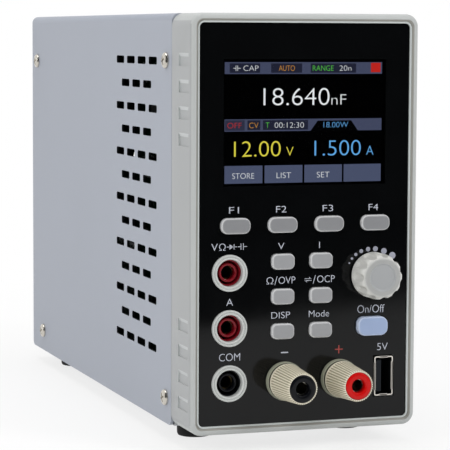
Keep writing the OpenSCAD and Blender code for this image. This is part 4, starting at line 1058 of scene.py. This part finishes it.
def addUsb(look):
    low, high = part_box("usb_shell")
    shell = block("usb_shell_drawn", low, high)
    edit(shell)
    pick(shell, "EDGE", cornerEdge)
    bpy.ops.mesh.bevel(offset=look["corner"] * mm, segments=look["cornerSteps"])
    pick(shell, "FACE", frontFace)
    bpy.ops.mesh.inset(thickness=look["wall"] * mm)
    drawOut(look["depth"])
    deselect()
    lips = []
    short, back = look["lipShort"] * mm, low.y + look["lipDepth"] * mm
    for side in (-1, 1):
        edges = high if side > 0 else low
        x0, x1 = sorted((edges.x - side * look["lipIn"] * mm, edges.x + side * look["lipOut"] * mm))
        z0, z1 = sorted((edges.z - side * look["lipIn"] * mm, edges.z + side * look["lipOut"] * mm))
        lips.append(block("lip", (x0, low.y, low.z + short), (x1, back, high.z - short)))
        lips.append(block("lip", (low.x + short, low.y, z0), (high.x - short, back, z1)))
    for lip in lips:
        roundEdges(lip, look["lipEdge"], 2)
    lips = joined("usb_lips", lips)
    # the lips are painted pale: a painted highlight on the metal
    coat(lips, "outlet_lip_painted_highlight")
    # the shell is painted near-black: painted shade inside the outlet
    coat(shell, "outlet_inside_painted_shade")
    rim = low.y + 1 * mm
    # the shell's front ring is painted pale: a painted highlight
    paintFaces(shell, "outlet_lip_painted_highlight", lambda middle, normal: frontFace(middle, normal) and middle.y < rim)
    shell = joined("usb_shell_drawn", [shell, lips])
    tidyMesh(shell, 35)
    replaced(shell, "usb_shell")
    low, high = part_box("usb_tongue")
    tongue = block("usb_tongue_block", low, high)
    roundEdges(tongue, look["tongueEdge"], 2)
    standsFor(tongue, "usb_tongue", "outlet_tongue")
    strips = []
    half = look["stripWidth"] / 2 * mm
    for i in range(look["strips"]):
        z = (low.z + high.z) / 2 + (i - (look["strips"] - 1) / 2) * look["stripPitch"] * mm
        strips.append(block("strip", (high.x - 0.02 * mm, low.y + look["stripStart"] * mm, z - half),
                            (high.x + look["stripLift"] * mm, high.y, z + half)))
    ridden(joined("usb_contacts", strips), "brass")


addUsb(usbLook)


# Cover screws

screwLook = {
    "radius": 2.8, "height": 1.5, "edge": 0.06, "turn": 20,
    "cross": 0.62, "crossLength": 3.3, "crossDepth": 0.95, "crossTaper": 0.8,
    # radius and height of the dome as shares of the whole
    "dome": [(1, 0), (1, 0.35), (0.97, 0.52), (0.9, 0.68), (0.78, 0.82), (0.6, 0.93), (0.35, 0.99), (0.1, 1)],
    "shank": [(1.35, 4), (1.35, 0)],
    "spots": [(26.7, 54.9), (26.7, -61.9), (213.4, 52.3), (204.2, -62.5)],  # depth and height in mm
}


def addCoverScrews(look):
    low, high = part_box("cover_screws")
    radius, height = look["radius"], look["height"]
    dome = [(radius * across, -height * up) for across, up in look["dome"]]
    head = turnedPiece("screw_heads", panelMiddle, look["shank"] + dome, 40)
    capEnds(head)
    tidyMesh(head, 40)
    turns = [radians(turn) for turn in (look["turn"], look["turn"] + 90)]
    arms = [Vector((cos(turn), 0, sin(turn))) for turn in turns]
    half, reach = look["cross"] / 2, look["crossLength"] / 2
    edit(head)
    for arm in arms:
        for cut in (half, -half, reach, -reach):
            selectAll()
            bpy.ops.mesh.bisect(plane_co=panelMiddle + arm * cut * mm, plane_no=arm)

    def inCross(middle, normal):
        spot = (middle - panelMiddle) / mm
        along = sorted(abs(spot.dot(arm)) for arm in arms)
        return normal.y < -0.2 and along[0] < half and along[1] < reach

    pick(head, "FACE", inCross)
    drawOut(look["crossDepth"])
    taper, floor = look["crossTaper"], atPanel(0, look["crossDepth"] - height, 0)
    bpy.ops.transform.resize(value=(taper, 0, taper), center_override=floor)
    deselect()
    roundEdges(head, look["edge"], 2, 50)
    screws = []
    for side in (-1, 1):  # the left and the right flank
        turned = Matrix.Rotation(side * pi / 2, 4, "Z") @ Matrix.Translation(-panelMiddle)
        seat = high.x - height * mm if side > 0 else low.x + height * mm
        for depth, up in look["spots"]:
            screw = copyAt(head, "screw", Vector())
            place = Vector((seat, panelMiddle.y + depth * mm, panelMiddle.z + up * mm))
            screw.data.transform(Matrix.Translation(place) @ turned)
            screws.append(screw)
    screws = joined("cover_screw_heads", screws)
    bpy.data.objects.remove(head)
    choose(screws)
    bpy.ops.object.shade_smooth_by_angle(angle=radians(35))
    standsFor(screws, "cover_screws")


addCoverScrews(screwLook)
print("outlet and screws ready")


# Lettering and display

letterLook = {
    "weight": -0.008, "thick": 0.02, "plane": -0.01, "dotMiddle": (24.91, -18.1),
    "inks": {"legend_ink": "bfc3cf", "red_ink": "a8403a", "dot_ink": "a4a6b4"}, "patch": 1.2,
}


def addInk(name, code, look):
    # screen print, a little uneven in tone and gloss
    finish = Finish(name)
    patch = finish.noise(look["patch"], 3)
    colour = tint(code)
    tone = finish.mix(patch, shaded(colour, 0.93), shaded(colour, 1.05))
    finish.paint(colour=tone, roughness=0.42 + patch * 0.15)
    finishes[name] = finish


def thicken(piece, thick):
    edit(piece)
    selectAll()
    drawOut(thick)
    selectAll()
    bpy.ops.mesh.normals_make_consistent()
    deselect()
    return piece


def fitText(words, left, right, low, high, plane, thick, bold):
    # letters stretched to a measured box, in mm from the overlay's middle
    deselect()
    bpy.ops.object.text_add()
    letters = bpy.context.object.data
    letters.body, letters.offset = words, bold
    bpy.ops.object.convert(target="MESH")
    piece = bpy.context.object
    corners = [v.co for v in piece.data.vertices]
    x0, x1 = min(c.x for c in corners), max(c.x for c in corners)
    y0, y1 = min(c.y for c in corners), max(c.y for c in corners)
    across, up = (right - left) / (x1 - x0), (high - low) / (y1 - y0)
    flat = Matrix.Diagonal((across * mm, up * mm, 1, 1)) @ Matrix.Translation((-x0, -y0, 0))
    stand = Matrix.Rotation(pi / 2, 4, "X")
    piece.data.transform(Matrix.Translation(atPanel(left, plane, low)) @ stand @ flat)
    return thicken(piece, thick)


def bar(left, right, low, high, plane, thick):
    return block("bar", atPanel(left, plane, low), atPanel(right, plane + thick, high))


def slanted(points, plane, thick):
    # a flat shape with three or more corners, extruded from one filled ring
    data = bpy.data.meshes.new("slanted")
    data.from_pydata([atPanel(x, plane, z) for x, z in points], [], [tuple(range(len(points)))])
    return thicken(linked("slanted", data), thick)


legends = [
    # words, left, right, low, high
    ("F1", -27.14, -23.62, 4, 6.2), ("F2", -10.37, -6.62, 4, 6.2), ("F3", 6.49, 10.3, 4, 6.2),
    ("F4", 23.37, 26.94, 4, 6.2), ("V", -9.59, -7.27, -8.5, -6.3), ("I", 5.3, 5.62, -8.5, -6.3),
    ("V", -33.33, -31.1, -8.4, -6), ("Ω", -30.6, -28.3, -8.4, -6),
    ("Ω", -13.64, -11.2, -20.3, -17.9), ("/", -10.8, -9.7, -20.65, -17.7),
    ("OVP", -9.3, -3.25, -20.3, -17.9), ("/", 3.1, 4.2, -20.65, -17.7), ("OCP", 4.7, 11.13, -20.3, -17.9),
    ("A", -28, -25.56, -27.1, -24.7), ("DISP", -11.84, -5.07, -32.1, -29.85),
    ("Mode", 1.75, 9.19, -32.1, -29.85), ("On/Off", 19.62, 29.69, -31.4, -28.65),
    ("COM", -30.47, -22.95, -45.9, -43.3), ("5V", 27.1, 31.1, -44.6, -42.1),
]
signStrokes = [
    # left, right, low, high of the diode, the capacitor and the two arrows
    (-27.9, -24.3, -7.32, -7.12), (-25.42, -25.2, -8.1, -6.3),
    (-24, -22.9, -7.32, -7.12), (-22.95, -22.75, -8.3, -6.1), (-22.1, -21.9, -8.3, -6.1),
    (-22, -20.7, -7.32, -7.12),
    (0.14, 2.65, -18.93, -18.76), (0.14, 2.65, -19.57, -19.4), (-8.28, -5.67, -44.05, -43.63),
]
signShapes = [
    [(-26.9, -8.1), (-25.5, -7.22), (-26.9, -6.34)],
    [(2.65, -18.93), (1.85, -18.25), (1.72, -18.38), (2.3, -18.93)],
    [(0.14, -19.4), (0.94, -20.08), (1.07, -19.95), (0.49, -19.4)],
]
knobDots = [
    # angle in degrees, distance from the knob's axis, radius
    (154, 9.4, 0.3), (142.8, 9.39, 0.44), (130.8, 9.3, 0.58), (116.6, 9.09, 0.7), (100.1, 8.88, 0.79),
    (82.5, 8.85, 0.9), (61.4, 9.01, 1.05), (40.2, 9.81, 1.19),
]
plusStrokes = [
    # left, right, low, high and lift
    (11.45, 14.31, -43.78, -43.42, 0), (12.7, 13.06, -45.05, -42.15, 0.005),
]


def addLegends(look):
    for name, code in look["inks"].items():
        addInk(name, code, look)
    thick = look["thick"]
    plane = look["plane"] - thick
    marks = [fitText(words, *box, plane, thick, look["weight"]) for words, *box in legends]
    marks += [bar(*stroke, plane, thick) for stroke in signStrokes]
    marks += [slanted(points, plane, thick) for points in signShapes]
    ridden(joined("panel_legends", marks), "legend_ink")
    plus = [bar(*box, plane - lift, thick) for *box, lift in plusStrokes]
    ridden(joined("plus_legend", plus), "red_ink")
    dots = []
    x, z = look["dotMiddle"]
    for angle, reach, radius in knobDots:
        turn = radians(angle)
        spot = atPanel(x + reach * cos(turn), 0, z + reach * sin(turn))
        dot = turnedPiece("dot", spot, [(radius, plane + thick), (radius, plane)], 32)
        capEnds(dot)
        dots.append(dot)
    dots = joined("knob_dots", dots)
    tidyMesh(dots)
    ridden(dots, "dot_ink")


addLegends(letterLook)

screenLook = {
    "plane": 1.9, "layer": 0.012, "weight": -0.014,
    "glow": 1, "dot": 0.18, "dimming": 0.12,  # strength, width of a dot in mm, and the change between dots
    # from the plane where the picture was measured to its own
    "stretch": 1.0028, "across": 0.72, "down": -0.08,
}
screenBars = [
    # colour, layer, left, right, low, high
    ("4b5069", 1, -29, 27.65, 50.75, 54.72), ("26283a", 2, -27.27, -16.52, 51.15, 54.3),
    ("26283a", 2, -12.6, -1.5, 51.15, 54.3), ("26283a", 2, 1.6, 18.1, 51.15, 54.3),
    ("d22a24", 2, 23.57, 27.07, 51.3, 54.5), ("4b5069", 1, -29, 27.65, 31.5, 35.6),
    ("34364a", 2, -28.8, -21.9, 31.8, 35.3), ("26283a", 2, -20.9, -16.3, 31.95, 35.2),
    ("26283a", 2, -15.4, 0.8, 31.95, 35.2),
    ("535a74", 1, -28.95, -15.46, 14, 19.98), ("535a74", 1, -14.7, -1.1, 14, 19.98),
    ("535a74", 1, -0.4, 13.26, 14, 19.98), ("535a74", 1, 13.9, 27.56, 14, 19.98),
]
screenTab = ("020203", [(1.65, 31.45), (4.3, 34.95), (16.5, 34.95), (19, 31.45)])
screenWords = [
    # words, colour, left, right, low, high
    ("CAP", "e8e8ea", -22.4, -17.1, 51.8, 53.6), ("AUTO", "e09a3c", -9.84, -4.12, 51.8, 53.6),
    ("RANGE", "5fd24a", 2.35, 9.9, 51.8, 53.6), ("20n", "e8e8ea", 12, 16.4, 51.8, 53.6),
    ("18.640", "ffffff", -15.24, 8.5, 40.2, 46), ("nF", "f2f2f2", 9.2, 14.6, 40.35, 43.8),
    ("OFF", "c8342e", -28, -23, 32.6, 34.45), ("CV", "e09a3c", -20.3, -17, 32.6, 34.45),
    ("T", "5fd24a", -14.4, -13.1, 32.6, 34.45), ("00:12:30", "e8e8ea", -11.2, -0.7, 32.6, 34.45),
    ("18.00W", "6aaee8", 6.4, 15.4, 32.6, 34.45),
    ("12.00", "f2e24e", -25.6, -9, 23, 28.2), ("V", "f2e24e", -7, -4.4, 23.1, 26.15),
    ("1.500", "6cb6f4", 3.2, 20.1, 23, 28.2), ("A", "6cb6f4", 22.1, 24.8, 23.1, 26.15),
    ("STORE", "f0f0f2", -26.2, -18.4, 15.6, 17.5), ("LIST", "f0f0f2", -10.4, -5.2, 15.6, 17.5),
    ("SET", "f0f0f2", 4.1, 8.7, 15.6, 17.5),
]
screenStrokes = [  # the capacitor before the first word, in that word's colour
    (-26, -25.1, 52.58, 52.78), (-25.15, -24.95, 51.75, 53.6),
    (-24.55, -24.35, 51.75, 53.6), (-24.4, -23.4, 52.58, 52.78),
]


def addGlow(code, look):
    # the picture's dots, a little dimmer between them
    finish = Finish("glow_" + code, colour=(0, 0, 0, 1), specular=0, glowStrength=look["glow"])
    dot = look["dot"] * mm
    dots = finish.node("TexBrick", {"offset": 0}, {
        "Vector": finish.place(), "Scale": 1, "Brick Width": dot, "Row Height": dot,
        "Mortar Size": dot * 0.12, "Mortar Smooth": 0.5}, "Fac")
    finish.paint(glow=finish.mix(dots * look["dimming"], tint(code), (0, 0, 0, 1)))
    finishes["glow_" + code] = finish


def addDisplay(look):
    layer = look["layer"]
    thick = layer * 0.8
    parts = {}

    def moved(x0, x1, z0, z1):
        x0, x1 = (x * look["stretch"] + look["across"] for x in (x0, x1))
        return x0, x1, z0 + look["down"], z1 + look["down"]

    def plane(level):
        return look["plane"] - layer * level

    for code, level, *box in screenBars:
        parts.setdefault(code, []).append(bar(*moved(*box), plane(level), thick))
    code, corners = screenTab
    corners = [(x * look["stretch"] + look["across"], z + look["down"]) for x, z in corners]
    parts[code] = [slanted(corners, plane(2), thick)]
    for words, code, *box in screenWords:
        parts.setdefault(code, []).append(fitText(words, *moved(*box), plane(3), thick, look["weight"]))
    firstWordColour = screenWords[0][1]
    parts[firstWordColour] += [bar(*moved(*box), plane(3), thick) for box in screenStrokes]
    for code, pieces in parts.items():
        addGlow(code, look)
        ridden(joined("picture_" + code, pieces), "glow_" + code)


addDisplay(screenLook)
print("lettering and display ready")


# Parts on the meter board, seen through the vent slots

chipLook = {
    # depth, height above the overlay's middle, length, height, thickness
    "chips": [(38, 46, 9, 7, 1.6), (56, 38, 13, 9, 2.2), (72, 50, 6, 6, 1.4), (44, 22, 7, 11, 1.8),
              (66, 16, 12, 7, 2), (36, 2, 6, 5, 1.3), (52, -4, 10, 10, 1.6), (72, -10, 7, 5, 1.4),
              (40, -24, 12, 8, 2.2), (64, -30, 8, 8, 1.5), (48, -44, 14, 7, 1.8), (74, -46, 5, 8, 1.4)],
    "edge": 0.15, "gap": 0.15, "legs": 5, "legGap": 0.35,
    "leg": (0.69, 0.4, 0.8),  # thickness, width and length
}


def boxAt(name, face, middle, thick, length, tall):
    # a block on the board's left face, in mm
    half = Vector((0, length / 2, tall / 2)) * mm
    low, high = middle - half, middle + half
    low.x, high.x = face - thick * mm, face
    return block(name, low, high)


def addChips(look):
    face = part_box("meter_board")[0].x
    legThick, legWidth, legLength = look["leg"]
    bodies, legs = [], []
    for depth, height, length, tall, thick in look["chips"]:
        middle = atPanel(0, depth, height)
        chip = boxAt("chip", face - look["gap"] * mm, middle, thick - look["gap"], length, tall)
        roundEdges(chip, look["edge"], 2)
        bodies.append(chip)
        for side in (-1, 1):
            for i in range(look["legs"]):
                step = (i - (look["legs"] - 1) / 2) * length / look["legs"]
                spot = middle + Vector((0, step, side * (tall / 2 + look["legGap"]))) * mm
                legs.append(boxAt("leg", face - 0.01 * mm, spot, legThick, legWidth, legLength))
    # the chips and their legs are painted darker than they are: painted shade inside the case
    ridden(joined("meter_chips", bodies), "chip_in_painted_shade")
    ridden(joined("meter_chip_legs", legs), "tin_in_painted_shade")


addChips(chipLook)
print("meter board parts ready")
